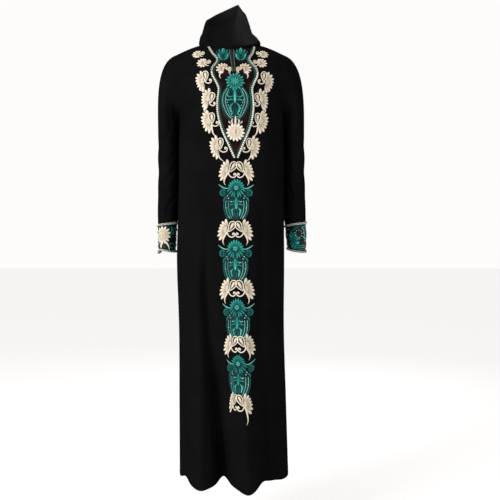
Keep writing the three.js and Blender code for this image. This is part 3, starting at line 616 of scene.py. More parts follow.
# The armhole from the underarm up the front, over the shoulder and down the back.
def armhole(side):
    steps = sleeve["ringSteps"]
    levels = np.linspace(1, 2, steps + 1)
    way = -1 if side == "left" else 1
    edges = []
    for panel in ("front", "back"):
        outer = bodyPoint(panel, np.full(steps + 1, way * math.pi / 2), levels, plain=True)
        beside = bodyPoint(panel, np.full(steps + 1, way * (math.pi / 2 - 0.1)), levels, plain=True)
        rise = np.gradient(outer, axis=0)
        thick = np.cross(rise, beside - outer)
        thick /= np.linalg.norm(thick, axis=-1, keepdims=True)
        middle = bodyPoint(panel, np.zeros(steps + 1), levels, plain=True)
        middle[:, 1] = 0
        thick *= np.sign(np.einsum("ij,ij->i", thick, middle - outer))[:, None]
        away = np.cross(rise, thick)
        away /= np.linalg.norm(away, axis=-1, keepdims=True)
        away *= np.sign(away[:, :1] * way + 1e-9)
        away[0] = (0, 0, 1) if away[0, 2] < 0 else away[0]
        edges.append((outer, away))

    def ring(index):
        front, back = edges[0][index], edges[1][index]
        ends = [(front[i] + back[i]) / 2 for i in (0, -1)]
        return np.concatenate([[ends[0]], front[1:-1], [ends[1]], back[1:-1][::-1]])

    outer, away = ring(0), ring(1)
    return outer, away / np.linalg.norm(away, axis=-1, keepdims=True)


def sleeveGrid(side):
    way = -1 if side == "left" else 1
    outer, away = armhole(side)
    around = 180 - 180 * np.arange(2 * sleeve["ringSteps"]) / sleeve["ringSteps"]
    start = outer + away * sleeve["meet"]
    end = sleevePoint(side, around, np.full(around.shape, float(sleeve["bicep"])), 0)
    reach = np.linalg.norm(end - start, axis=-1, keepdims=True) * sleeve["pull"]
    top = (1 - np.cos(np.radians(around - 180)))[:, None] / 2
    under = bump((top - 0.02) / 0.1)
    leanOut, leanDown = sleeve["underarmLean"]
    leave = lerp(away, np.array([way, 0, 0]), lerp(*sleeve["spread"], top) * (1 - under))
    leave += np.array([way * leanOut, 0, leanDown]) * under
    leave *= reach * lerp(sleeve["lowPull"], 1, top) / np.linalg.norm(leave, axis=-1, keepdims=True)
    arrive = np.concatenate([np.zeros((len(around), 2)), -reach], axis=1)
    share = np.linspace(0, 1, sleeve["capRows"])[:, None, None]
    cap = hermite(start, end, leave, arrive, share)
    down = np.linspace(0, 1, sleeve["armRows"] + 1)[1:, None]
    z = lerp(float(sleeve["bicep"]), cuffEdge(side, "top", around)[None, :] + body["seamGap"], down)
    face = np.concatenate([cap, sleevePoint(side, around[None, :], z, 0)])
    normal = gridNormals(face, True)
    middle = face.mean(axis=1, keepdims=True)
    normal *= np.sign(np.einsum("ijk,ijk->ij", normal, face - middle).sum())
    lining = face - normal * body["wall"]
    return face, lining


for side in ("left", "right"):
    face, lining = sleeveGrid(side)
    piece = wallPiece("sleeve" + side.title(), face, lining, True)
    ringed = np.concatenate([face, face[:, :1]], axis=1)
    declareSheet(piece, ringed, f"sleeve_{side}")
print("sleeves made")


def cuffGrid(side, standOut, rows, columns=120):
    around = np.linspace(180, -180, columns, endpoint=False)
    share = np.linspace(0, 1, rows)[:, None]
    z = lerp(cuffEdge(side, "top", around)[None, :], cuffEdge(side, "bottom", around)[None, :], share)
    return sleevePoint(side, around[None, :], z, standOut, plain=True)


# Round the cuff in millimetres from the middle of its front, outwards; up from its lower edge.
def onCuff(side):
    middleX, middleY, middleZ = cuff["middle"]
    middle = np.array([-middleX if side == "left" else middleX, middleY])
    dense = np.linspace(-450, 630, 2161)  # three times round, so that a motif may run past the back
    ring = sleevePoint(side, dense, np.full(dense.shape, float(middleZ)), 0, plain=True)
    run = np.concatenate([[0], np.cumsum(np.linalg.norm(np.diff(ring, axis=0), axis=-1))])
    run = np.interp(90, dense, run) - run
    standOut = (cuff["wall"] - body["wall"]) / 2

    def surface(places):
        def point(u, v):
            around = np.interp(-u, -run, dense)
            top, bottom = cuffEdge(side, "top", around), cuffEdge(side, "bottom", around)
            return sleevePoint(side, around, bottom + v * (top - bottom) / cuff["height"], standOut, plain=True)

        u, v = places[:, 0], places[:, 1]
        outward = np.cross(point(u + 1, v) - point(u - 1, v), point(u, v + 1) - point(u, v - 1))
        outward /= np.linalg.norm(outward, axis=-1, keepdims=True)
        here = point(u, v)
        outward *= np.sign(np.einsum("ij,ij->i", outward[:, :2], here[:, :2] - middle))[:, None]
        return here, outward

    return surface


# ---- satin stitch ----
# A shape is a line with a width; it becomes a low closed cushion on the cloth.
profiles = {"petal": (0.8, 0.55), "leaf": (0.7, 0.7), "taper": (0.12, 0.75), "band": (0.06, 0.06),
            "bud": (0.5, 0.55), "drop": (0.95, 0.4)}  # how fast the width grows from the root and falls to the tip
cushion = {"rowLength": 1.6, "fewest": 6, "most": 90, "tip": 0.012, "sunk": 0.3}


def smoothLine(points, count):
    points = np.asarray(points, float)
    if len(points) == 2:
        return lerp(points[0], points[1], np.linspace(0, 1, count)[:, None])
    run = np.concatenate([[0], np.cumsum(np.linalg.norm(np.diff(points, axis=0), axis=-1))])
    rows = {"t": run, "a": points[:, 0], "b": points[:, 1]}
    t = np.linspace(0, run[-1], count)
    return np.stack([columnAt(rows, "t", "a", t), columnAt(rows, "t", "b", t)], axis=-1)


def spot(x, y, size=1.0, turn=0.0, flip=1, squeeze=1.0):
    cos, sin = math.cos(math.radians(turn)), math.sin(math.radians(turn))

    def place(points):
        a, b = points[..., 0] * size, points[..., 1] * size
        return np.stack([x + flip * squeeze * (a * cos - b * sin), y + a * sin + b * cos], axis=-1)

    return place


class Stitching:  # gathers the shapes of one thread on one surface
    def __init__(self):
        self.shapes = []

    def shape(self, place, points, width, profile="petal", height=1.1, lift=0.0, shade=0.75, root=0.25, edge=0.4,
              sides=6):
        line = np.asarray(points, float)
        length = np.linalg.norm(np.diff(line, axis=0), axis=-1).sum()
        rows = int(np.clip(length / cushion["rowLength"], cushion["fewest"], cushion["most"]))
        start, end = profiles[profile]
        t = np.linspace(0, 1, rows)
        inner = np.clip(t, cushion["tip"], 1 - cushion["tip"])
        peak = (start / (start + end)) ** start * (end / (start + end)) ** end
        wide = width * inner ** start * (1 - inner) ** end / peak
        centre = smoothLine(line, rows)
        run = np.gradient(centre, axis=0)
        run /= np.linalg.norm(run, axis=-1, keepdims=True)
        across = np.stack([-run[:, 1], run[:, 0]], axis=-1)
        s = -np.cos(np.linspace(0, math.pi, sides))
        grid = centre[:, None] + across[:, None] * (s[None, :, None] * wide[:, None, None] / 2)
        dome = np.sqrt(np.maximum(1 - s ** 2, 0))
        high = lift + height * np.sqrt(wide / width)[:, None] * dome[None, :] - cushion["sunk"] * (dome[None, :] < 0.01)
        places = place(grid)
        side = places[rows // 2, -1] - places[rows // 2, 0]
        middle = places[min(rows // 2 + 1, rows - 1), sides // 2] - places[rows // 2 - 1, sides // 2]
        if middle[0] * side[1] - middle[1] * side[0] > 0:
            places, high, s = places[:, ::-1], high[:, ::-1], -s
        uv = np.stack(np.broadcast_arrays((t * length)[:, None], s[None, :] * width / 2), axis=-1)
        # tone falls towards each shape's root, and towards its sides as painted shade that darkens the gaps between
        # neighbouring shapes
        tone = shade - root * (1 - t)[:, None] ** 1.5 - edge * np.abs(s)[None, :] ** 3 + np.zeros((rows, sides))
        self.shapes.append((places, high, uv, tone))

    def fan(self, place, centre, turns, lengths, width, inner=0.3, **looksOf):
        centre = np.asarray(centre, float)
        for turn, length in zip(turns, lengths):
            way = np.array([math.cos(math.radians(turn)), math.sin(math.radians(turn))])
            self.shape(place, [centre + way * length * inner, centre + way * length], width, **looksOf)

    def sew(self, name, surface, material, slot):
        points, faces, uv, tone, offset = [], [], [], [], 0
        for places, high, stitchUv, shades in self.shapes:
            rows, sides = high.shape
            points.append((places.reshape(-1, 2), high.ravel()))
            index = offset + np.arange(rows * sides).reshape(rows, sides)
            ring = np.concatenate([index, index[:, :1]], axis=1)
            quads = np.stack([ring[:-1, :-1], ring[:-1, 1:], ring[1:, 1:], ring[1:, :-1]], -1).reshape(-1, 4)
            faces += [tuple(q) for q in quads.tolist()]
            faces += [tuple(index[0, ::-1].tolist()), tuple(index[-1].tolist())]
            uv.append(stitchUv.reshape(-1, 2))
            tone.append(shades.ravel())
            offset += rows * sides
        where = np.concatenate([p for p, _ in points])
        raised = np.concatenate([h for _, h in points])
        here, outward = surface(where)
        piece = makePiece(name, here + outward * raised[:, None], faces, material,
                          uv=np.concatenate(uv), values={"shade": np.concatenate(tone)})
        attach(piece, "root")
        print(f"{name}: {len(self.shapes)} shapes, {sum(len(f) - 2 for f in faces)} triangles")
        return piece


# ---- motifs ----
# Teardrop outline from its tip at the origin up to its round end.
def teardrop(length, width, count=22):
    turn = np.linspace(0.12, 2 * math.pi - 0.12, count)
    bulge = np.sin(turn) * np.sin(turn / 2) ** 1.1
    return np.stack([width / 2 * bulge / 0.8, length * (1 - np.cos(turn)) / 2], axis=-1)


sprayWork = {"fan": (-6, 8), "turns": (104, 127, 150, 173, 196, 219, 241, 260),
             "lengths": (35, 33, 30, 27, 26, 29, 35, 39),
             "petal": 10.2, "loop": (32, 18.5), "loopWidth": 3.2, "drop": 9.0,
             "hook": [(-5, 4), (-3, -3), (4, -9), (12, -10.5), (19, -7), (20.5, 1), (15.5, 4.5), (12.5, 1)]}


def turned(points, angle, shift=(0, 0)):
    cos, sin = math.cos(math.radians(angle)), math.sin(math.radians(angle))
    return [(a * cos - b * sin + shift[0], a * sin + b * cos + shift[1]) for a, b in points]


def petals(work, place, centre, turns, lengths, width, shade=0.95):
    between = [(a + b) / 2 for a, b in zip(turns, turns[1:])]
    short = min(lengths)
    work.fan(place, centre, between, [short * 0.68] * len(between), width * 0.7, inner=0.2, shade=shade - 0.45,
             height=0.7)
    work.fan(place, centre, turns, lengths, width, inner=0.2, shade=shade, height=1.5, lift=0.2, root=0.42, edge=0.5)
    work.fan(place, centre, turns, [length * 0.72 for length in lengths], width * 0.15, inner=0.36, shade=shade - 0.5,
             height=0.6, lift=1.45)
    work.fan(place, centre, between, [short * 0.46] * len(between), width * 0.5, inner=0.1, shade=shade - 0.1,
             height=1.2, lift=0.9, root=0.3, edge=0.45)


# A paisley drop in an outlined loop, its axis turned from straight up.
def paisley(work, place, length, width, band, drop, angle=0, shift=(0, 0)):
    work.shape(place, turned(teardrop(length, width), angle, shift), band, "band", height=1.7, lift=0.4, shade=0.95,
               root=0, edge=0.3)
    line = [(0, length * 0.14), (0, length * 0.5), (0, length * 0.88)]
    work.shape(place, turned(line, angle, shift), drop, "drop", height=1.3, shade=0.84, root=0.15, edge=0.3)


# A leaf fan with a paisley beside it and a curled hook below.
def creamSpray(work, place, rise=0, reach=1.0, hook=1.0, skip=0, loop=sprayWork["loop"]):
    spray = sprayWork
    centre = (spray["fan"][0], spray["fan"][1] + rise)
    lengths = [length * reach for length in spray["lengths"][skip:]]
    petals(work, place, centre, spray["turns"][skip:], lengths, spray["petal"] * reach)
    paisley(work, place, *loop, spray["loopWidth"], spray["drop"])
    line = [(a * hook, b * hook) for a, b in spray["hook"]]
    work.shape(place, line, 3.6, "band", height=1.7, lift=0.4, shade=0.95, root=0, edge=0.3)
    end = line[-1]
    work.shape(place, [(end[0] + 1.5, end[1] + 2.5), (end[0] + 2.5, end[1] - 4)], 5.6, "bud", height=1.7, lift=0.4,
               shade=0.92, root=0)


def creamPair(work, x, y, left=1.0, right=1.0, tailLeft=1.0, tailRight=1.0):
    for flip, squeeze, tail in ((1, left, tailLeft), (-1, right, tailRight)):
        half = spot(x, y, 1, 0, flip, squeeze)
        creamSpray(work, spot(x - flip * squeeze * 20, y - 7, 1, -29, flip, squeeze), rise=-5, skip=1, loop=(34, 20.5))
        line = [(-25, -8), (-31, -17), (-36, -28 * tail), (-37, -38 * tail), (-33, -47 * tail)]
        work.shape(half, line, 7.0, "taper", height=1.5, shade=0.88, root=0)


# A small fan with a paisley lying towards the yoke, for the top of each chain.
def smallSpray(work, place, lean):
    petals(work, place, (5, 0), [92, 114, 136, 156, 175, 194, 214, 238], [14, 17, 22, 27, 29, 27, 21, 15], 7.4)
    paisley(work, place, 17, 10.5, 2.4, 4.4, lean, (5, 0))
    work.shape(place, [(4, -4), (10, -9), (17, -9)], 4.0, "taper", shade=0.95, root=0)


def ground(work, place, line, width, shade=0.08):
    work.shape(place, line, width, "bud", height=0.45, shade=shade, root=0, edge=0.08, sides=19)


def tealLotus(teal, x, y, left=1.0, right=1.0, deep=1.0):
    both = spot(x, y, 1, 0, 1, (left + right) / 2)
    ground(teal, both, [(0, 8), (0, -46), (0, -97)], 72, 0.13)
    # the left half of each lotus is stitched darker: painted shade
    for flip, squeeze, tone in ((1, left, 0.92), (-1, right, 1.0)):
        half = spot(x, y, 1, 0, flip, squeeze)
        ground(teal, half, [(-34, -2), (-40, -13), (-35, -26)], 20, 0.24)
        curl = [(-30, -4), (-41, -6), (-47, -13), (-45, -21), (-37, -25)]
        teal.shape(half, curl, 5.6, "leaf", shade=0.7 * tone, root=0.1)
        for k in range(3):
            line = [(-28, -7 - 6 * k), (-39, -10 - 5 * k)]
            teal.shape(half, line, 4.6, "petal", shade=0.66 * tone, height=1.1, lift=0.5)
        teal.shape(half, [(-20, -2), (-33, -1), (-44, 4), (-53, 11)], 3.8, "leaf", shade=0.98, root=0, lift=0.5)
        teal.shape(half, [(-26, -27), (-33, -30), (-38, -41)], 6.4, "leaf", shade=0.72 * tone, root=0.1, lift=0.3)
        arcs = [([(-35, -36), (-37, -52), (-35, -68), (-30, -84), (-21, -95)], 3.6, 0.44),
                ([(-30, -38), (-31.5, -54), (-29, -70), (-24, -83), (-17, -93)], 1.7, 1.0),
                ([(-26, -40), (-27, -54), (-25, -70), (-20, -84)], 2.4, 0.42),
                ([(-22, -38), (-23, -54), (-21, -70), (-16, -84), (-12, -92)], 1.7, 0.98)]
        for line, width, shade in arcs:
            teal.shape(half, line, width, "band", height=1.0, shade=shade * tone, root=0, edge=0.1, lift=0.4)
        leaves = [([(-5, -36), (-11, -42), (-18, -40)], 4.2, 0.95), ([(-4, -50), (-12, -49), (-20, -53)], 4.4, 0.84),
                  ([(-5, -58), (-12, -68), (-9, -85)], 6.2, 0.95), ([(-15, -57), (-16, -68), (-11, -80)], 3.6, 0.66),
                  ([(-2, -64), (-4, -76), (-2, -90)], 4.2, 0.6)]
        for line, width, shade in leaves:
            teal.shape(half, line, width, "leaf", shade=shade * tone, root=0.15, lift=0.4)
        legs = [([(-3, 1), (-14, 3), (-25, 0)], 5.6), ([(-3, -1), (-16, -3), (-28, -11)], 5.2),
                ([(-3, -3), (-13, -9), (-22, -20)], 5.6), ([(-2, -5), (-9, -14), (-14, -26)], 5.6),
                ([(-1, -5), (-5, -16), (-6, -29)], 5.2)]
        for line, width in legs:
            teal.shape(half, line, width, "petal", shade=0.88 * tone * deep, height=1.3, root=0.3, lift=0.6)
            teal.shape(half, line[:2], 1.4, "leaf", shade=0.3, height=0.6, root=0, lift=1.8)
        for a, b in ((-26, -24), (-23, -31), (-30, -60), (-21, -87), (-15, -41), (-12, -66)):
            teal.shape(half, [(a + 1.4, b + 1.4), (a - 1.4, b - 1.4)], 3.2, "bud", height=1.5, shade=1.0, root=0,
                       edge=0, lift=1.2)
    turns = [90 + way * (10 + 20 * k) for k in range(4) for way in (1, -1)]
    teal.fan(both, (0, 0), turns, [27 if k < 2 else 25 for k in range(8)], 7.4, inner=0.12, shade=0.88 * deep,
             height=1.4, root=0.35, lift=0.6)
    teal.fan(both, (0, 0), turns, [18] * 8, 1.4, inner=0.3, shade=0.3, height=0.6, lift=1.9)
    teal.fan(both, (0, 0), [20 + 45 * k for k in range(8)], [7.5] * 8, 4.2, inner=0.05, shade=0.97, height=1.5,
             lift=1.3)
    teal.shape(both, [(0, -28), (0.5, -46), (0, -64)], 11.5, "bud", height=1.8, lift=0.5, shade=0.93 * deep, root=0.2)
    teal.shape(both, [(0, -34), (0, -54)], 2.0, "leaf", height=0.8, lift=2.1, shade=0.45, root=0)


def tulip(teal, x, y, flip):
    place = spot(x, y, 1, 0, flip)
    ground(teal, place, [(0, 12), (0, -12), (0, -34)], 36, 0.05)
    teal.shape(place, [(0, -13), (0, 13)], 12.5, "bud", height=1.8, lift=0.4, shade=0.92, root=0.35, edge=0.3, sides=9)
    teal.shape(place, [(0, -12), (0, 6)], 2.4, "leaf", height=0.8, lift=2.0, shade=0.35, root=0)
    for way in (-1, 1):
        teal.shape(place, [(way * 3, -15), (way * 10, -6), (way * 13, 8)], 6.0, "leaf", shade=0.74, root=0.35, lift=0.4)
        teal.shape(place, [(way * 1, -31), (way * 9, -25), (way * 16, -9)], 9.5, "leaf", shade=0.9, root=0.3, lift=0.4)
        teal.shape(place, [(way * 3, -28), (way * 12, -17)], 1.8, "leaf", shade=0.3, height=0.7, lift=1.7, root=0)
        teal.shape(place, [(way * 1, -27), (way * 6, -18), (way * 8, -11)], 4.6, "leaf", shade=0.6, root=0.2, lift=0.7)
        teal.shape(place, [(way * 14, -14), (way * 19, -8), (way * 19, 1)], 4.4, "leaf", shade=0.55, lift=0.4)


def roundFlower(work, x, y, radius, count):
    place = spot(x, y)
    turns = [90 + 360 / count * (k + 0.5) for k in range(count)]
    ground(work, place, [(0, radius * 0.85), (0, 0), (0, -radius * 0.85)], radius * 1.7, 0.22)
    work.fan(place, (0, 0), [turn + 180 / count for turn in turns], [radius * 0.92] * count, radius * 0.16,
             inner=0.15, shade=0.55, height=0.8, lift=0.3)
    lengths = [radius * (1.06 if k % 2 else 0.96) for k in range(count)]
    work.fan(place, (0, 0), turns, lengths, radius * 0.25, inner=0.16, shade=0.9, root=0.4, height=1.4, lift=0.5)
    work.fan(place, (0, 0), turns, [radius * 0.72] * count, 1.3, inner=0.45, shade=0.34, height=0.6, lift=1.7)
    work.fan(place, (0, 0), [40 * k for k in range(9)], [radius * 0.44] * 9, radius * 0.13, inner=0.3, shade=1.0,
             height=1.2, lift=1.6)
    work.fan(place, (0, 0), [60 * k for k in range(6)], [radius * 0.22] * 6, radius * 0.14, inner=0.05, shade=1.0,
             height=1.6, lift=1.6)


embroidery = {
    "pairs": [  # x, z, left and right width, left and right tail
        (15.2, -409, 1.0, 0.98, 1.0, 1.0), (11.6, -587, 1.0, 0.98, 1.0, 1.0), (13.9, -762, 0.92, 1.04, 1.0, 1.0),
        (18.6, -927, 0.78, 0.98, 0.9, 1.0), (16.0, -1100, 0.42, 0.88, 0.4, 1.35)],
    "lotuses": [  # x, z, left and right width, brightness
        (14.0, -463, 1.0, 1.0, 1.0), (11.3, -644, 0.96, 1.0, 1.0), (16.6, -818, 0.82, 0.98, 0.95),
        (20.0, -984, 0.66, 0.96, 0.88)],
    "sprays": [  # x, z of the drop's tip, turn, rise and reach of the fan, size of the hook
        (-77.3, -135.6, 6, -5, 0.95, 0.8), (-62.8, -206, -11, 5, 0.95, 0.72), (-56.9, -269.4, 6, 2, 1.0, 0.88),
        (-32.5, -346.2, 2, 0, 1.0, 0.95)],
    "smallSprays": [  # left x, right x, z, turn, size, how far its paisley leans
        (-101, 94, -47, 4, 0.84, -78), (-84, 87, -77, 2, 0.95, -74)],
    "mirrorX": 10.0,
    "stems": [
        [(-88, -137), (-95, -150), (-93, -163), (-84, -170)],
        [(-70, -203), (-80, -216), (-82, -228), (-74, -243)],
        [(-60, -270), (-58, -288), (-53, -302), (-41, -313)],
        [(-42, -346), (-40, -362), (-33, -376), (-22, -384)]],
}

cream, teal, green, blush = Stitching(), Stitching(), Stitching(), Stitching()
for pair in embroidery["pairs"]:
    creamPair(cream, *pair)
for lotus in embroidery["lotuses"]:
    tealLotus(teal, *lotus)
axis = embroidery["mirrorX"]
for flip in (1, -1):
    for sx, sz, turn, rise, reach, hook in embroidery["sprays"]:
        creamSpray(cream, spot(axis + flip * (sx - axis), sz, 1, turn, flip), rise, reach, hook)
    for stem in embroidery["stems"]:
        cream.shape(spot(axis, 0, 1, 0, flip), [(a - axis, b) for a, b in stem], 6.2, "taper", shade=0.9, root=0)
    for leftX, rightX, sz, turn, size, lean in embroidery["smallSprays"]:
        smallSpray(cream, spot(leftX if flip == 1 else rightX, sz, size, turn, flip), lean)

# yoke: tulips, sprays beside the slit, a round flower over a vase, and a spire flower
yokeWork = {"sprayAxis": 7,
            "vase": [(0, 2.6, 0.5), (4.2, 1.6, 1.0), (8.4, 3.6, 0.3), (12.2, 1.6, 1.0), (16, 2.2, 0.42)]}
for tx, flip in ((-25.4, 1), (28.5, -1)):
    tulip(teal, tx, -38, flip)
for flip in (1, -1):
    place = spot(yokeWork["sprayAxis"] - flip * 35, -98, 1, 0, flip)
    petals(cream, place, (7, -1), [64, 90, 116, 140, 164, 188, 212, 236], [17, 19, 22, 25, 27, 26, 22, 17], 7.8, 0.9)
    paisley(cream, place, 17, 11, 2.6, 4.4, -96, (10, 1))
    cream.shape(place, teardrop(7, 6) + (23, -12), 2.4, "band", height=1.7, lift=1.2, shade=0.96, root=0)
    cream.shape(place, [(1, -6), (-6, -15), (-8, -24), (-4, -32)], 6.4, "taper", height=1.5, shade=0.9, root=0)
    blush.shape(place, [(4, 5), (9, 13)], 5.5, "petal", shade=0.8, lift=1.8)
    blush.shape(place, [(18, -12), (25, -17)], 4.0, "petal", shade=0.7, lift=1.8)
roundFlower(teal, 10.5, -139.5, 28, 16)
vasePlace = spot(10.5, 0)
ground(teal, vasePlace, [(0, -150), (0, -205), (0, -268)], 88)
for flip in (1, -1):
    half = spot(10.5, 0, 1, 0, flip)
    for inset, width, shade in yokeWork["vase"]:
        line = [(-24 + inset * 0.5, -158 - inset * 0.5), (-38 + inset, -180), (-41 + inset, -204), (-34 + inset, -228),
                (-22 + inset * 0.7, -247), (-6 + inset * 0.1, -262 + inset * 0.9)]
        teal.shape(half, line, width, "band", height=1.0, shade=shade, root=0, edge=0.1, lift=0.4)
    leaves = [([(-4, -184), (-13, -189), (-22, -185), (-23, -176), (-16, -173)], 5.2, 0.88),
              ([(-4, -176), (-10, -172), (-9, -166)], 3.6, 0.52), ([(-4, -199), (-14, -197), (-25, -202)], 5.8, 0.86),
              ([(-4, -206), (-14, -221), (-7, -243)], 7.8, 0.87), ([(-17, -210), (-20, -222), (-14, -238)], 3.8, 0.52),
              ([(-2, -216), (-4, -232), (-2, -250)], 4.2, 0.52)]
    for line, width, shade in leaves:
        teal.shape(half, line, width, "leaf", shade=shade, root=0.15, height=1.4, lift=0.5)
    for k in range(6):
        teal.shape(half, [(-27 + 3.2 * k, -196 - 9 * k), (-25 + 3.2 * k, -199 - 9 * k)], 2.8, "bud", shade=1.0, root=0,
                   edge=0, height=1.5, lift=1.0)
teal.shape(vasePlace, [(0, -162), (0, -180), (0, -208)], 10.5, "leaf", height=1.8, lift=0.6, shade=0.96, root=0.2)
spire = spot(12, -296)
petals(cream, spire, (0, 0), [90 + 24 * k for k in range(15)], [28] * 15, 9.2, 1.1)
cream.shape(spire, [(0, 14), (0, 32), (0, 50)], 7.0, "leaf", height=1.8, lift=0.4, shade=0.92)
cream.shape(spire, [(0, -9), (0, 11)], 9, "bud", height=1.6, lift=1.6, shade=0.86, root=0)
for flip in (1, -1):
    half = spot(12, -296, 1, 0, flip)
    cream.shape(half, [(-6, 22), (-11, 31), (-9, 40)], 5.4, "petal", shade=0.9, lift=0.3)
    blush.shape(half, [(-14, 24), (-21, 33)], 5.5, "petal", shade=0.8, lift=0.4)
blush.shape(spire, [(0, -7), (0, 8)], 4.0, "bud", height=1.3, lift=2.8, shade=0.5, root=0)

# dark green satin inside the cord
for way in (-1, 1):
    zs = np.linspace(-30, -366, 70)
    line = np.stack([yokeEdge(way, zs, yoke["bandWidth"]), zs], axis=-1)
    green.shape(spot(0, 0), line, yoke["bandWidth"], "band", height=1.0, shade=0.72, root=0)

cream.sew("creamEmbroidery", onFront, looks["cream"], "cream_thread")
teal.sew("tealEmbroidery", onFront, looks["teal"], "green_thread")
green.sew("yokeSatin", onFront, looks["green"], "green_thread")
blush.sew("blushAccents", onFront, looks["blush"], "cream_thread")

# ---- placket ----
slit = {"outline": table("z half centreX", [(-34, 6, 0), (-62, 5.5, 2.5), (-108, 3.5, 7.5)]), "piping": 1.4}
strip, piping = Stitching(), Stitching()
zs = np.linspace(-32, -108, 16)
middle = columnAt(slit["outline"], "z", "centreX", zs)
half = columnAt(slit["outline"], "z", "half", zs)
strip.shape(spot(0, 0), np.stack([middle, zs], axis=-1), 9.0, "band", height=1.5, lift=0.5, shade=0.15, root=0)
for way in (-1, 1):
    line = np.stack([middle + way * half, zs], axis=-1)
    piping.shape(spot(0, 0), line, slit["piping"], "band", height=1.6, lift=0.6, shade=0.4, root=0)
placketStrip = strip.sew("placketStrip", onFront, looks["green"], "green_thread")
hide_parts("placket")
piping.sew("placketPiping", onFront, looks["cord"], "cream_thread")


# ---- twisted cords ----
# shade gives a ply's tone in its groove and how much lighter its crest is: painted shade and painted highlight
plyWork = {"plies": 2, "sides": 8, "off": 0.46, "radius": 0.56, "slant": 0.7, "shade": (0.42, 0.5)}


# Two plies wound round a path. Each path point has the direction away from the cloth.
def twistedCord(name, path, outward, radius, twist, closed, material, spread=1.0):
    plies, sides = plyWork["plies"], plyWork["sides"]
    low, rise = plyWork["shade"]
    step = np.gradient(path, axis=0)
    if closed:
        step[0] = step[-1] = path[1] - path[-2]
    step /= np.linalg.norm(step, axis=-1, keepdims=True)
    side = np.cross(step, outward)
    side /= np.linalg.norm(side, axis=-1, keepdims=True)
    up = np.cross(side, step)
    side = side * spread
    run = np.concatenate([[0], np.cumsum(np.linalg.norm(np.diff(path, axis=0), axis=-1))])
    turns = max(round(run[-1] / twist), 1)
    points, faces, uv, tone = [], [], [], []
    ringTurn = np.linspace(0, 2 * math.pi, sides, endpoint=False)
    for ply in range(plies):
        phase = 2 * math.pi * (turns * run / run[-1] + ply / plies)
        away = side * np.cos(phase)[:, None] + up * np.sin(phase)[:, None]
        centre = path + away * radius * plyWork["off"]
        offset = side[:, None] * np.cos(ringTurn)[None, :, None] + up[:, None] * np.sin(ringTurn)[None, :, None]
        ring = centre[:, None] + offset * radius * plyWork["radius"]
        count = len(path) - 1 if closed else len(path)
        base = sum(len(p) for p in points)
        index = base + np.arange(count * sides).reshape(count, sides)
        wrap = np.concatenate([index, index[:, :1]], axis=1)
        if closed:
            wrap = np.concatenate([wrap, wrap[:1]])
        quads = np.stack([wrap[:-1, :-1], wrap[:-1, 1:], wrap[1:, 1:], wrap[1:, :-1]], -1).reshape(-1, 4)
        faces += [tuple(q) for q in quads.tolist()]
        if not closed:
            faces += [tuple(index[0, ::-1].tolist()), tuple(index[-1].tolist())]
        points.append(ring[:count].reshape(-1, 3))
        around = np.broadcast_to(ringTurn[None, :] * radius, (count, sides))
        uv.append(np.stack([around + run[:count, None] * plyWork["slant"], around], axis=-1).reshape(-1, 2))
        # each ply is darker where it turns in towards the cord's middle and lighter on its outer crest: painted shade
        # in the grooves, painted highlight on the crests
        tone.append((low + rise * np.einsum("ijk,ik->ij", offset[:count], away[:count])).ravel())
    quadsArray = np.array([f for f in faces if len(f) == 4])
    points = np.concatenate(points)
    if volumeOf(points, quadsArray) < 0:
        faces = [tuple(reversed(f)) for f in faces]
    piece = makePiece(name, points, faces, material, uv=np.concatenate(uv), values={"shade": np.concatenate(tone)})
    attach(piece, "root")
    return piece


# ---- rows of beads or stitches along a path ----
def rowTree():
    tree = bpy.data.node_groups.new("rowAlongPath", "GeometryNodeTree")
    sockets = {}
    for name, kind in (("Path", "NodeSocketGeometry"), ("Spacing", "NodeSocketFloat"), ("Radius", "NodeSocketFloat"),
                       ("Stretch", "NodeSocketFloat"), ("Material", "NodeSocketMaterial")):
        sockets[name] = tree.interface.new_socket(name, in_out="INPUT", socket_type=kind).identifier
    tree.interface.new_socket("Row", in_out="OUTPUT", socket_type="NodeSocketGeometry")
    nodes, links = tree.nodes, tree.links
    given, made = nodes.new("NodeGroupInput"), nodes.new("NodeGroupOutput")
    toCurve = nodes.new("GeometryNodeMeshToCurve")
    toPoints = nodes.new("GeometryNodeCurveToPoints")
    toPoints.mode = "LENGTH"
    ball = nodes.new("GeometryNodeMeshUVSphere")
    ball.inputs["Segments"].default_value, ball.inputs["Rings"].default_value = 10, 7
    stretch = nodes.new("ShaderNodeCombineXYZ")
    stretch.inputs[0].default_value = stretch.inputs[1].default_value = 1
    shape = nodes.new("GeometryNodeTransform")
    scatter = nodes.new("GeometryNodeInstanceOnPoints")
    real, paint = nodes.new("GeometryNodeRealizeInstances"), nodes.new("GeometryNodeSetMaterial")
    smooth = nodes.new("GeometryNodeSetShadeSmooth")
    links.new(given.outputs["Path"], toCurve.inputs["Mesh"])
    links.new(toCurve.outputs["Curve"], toPoints.inputs["Curve"])
    links.new(given.outputs["Spacing"], toPoints.inputs["Length"])
    links.new(given.outputs["Radius"], ball.inputs["Radius"])
    links.new(given.outputs["Stretch"], stretch.inputs[2])
    links.new(ball.outputs["Mesh"], shape.inputs["Geometry"])
    links.new(stretch.outputs[0], shape.inputs["Scale"])
    links.new(toPoints.outputs["Points"], scatter.inputs["Points"])
    links.new(toPoints.outputs["Rotation"], scatter.inputs["Rotation"])
    links.new(shape.outputs["Geometry"], smooth.inputs["Geometry"])
    links.new(smooth.outputs["Geometry"], scatter.inputs["Instance"])
    links.new(scatter.outputs["Instances"], real.inputs["Geometry"])
    links.new(real.outputs["Geometry"], paint.inputs["Geometry"])
    links.new(given.outputs["Material"], paint.inputs["Material"])
    links.new(paint.outputs["Geometry"], made.inputs["Row"])
    return tree, sockets


rowNodes, rowSockets = rowTree()


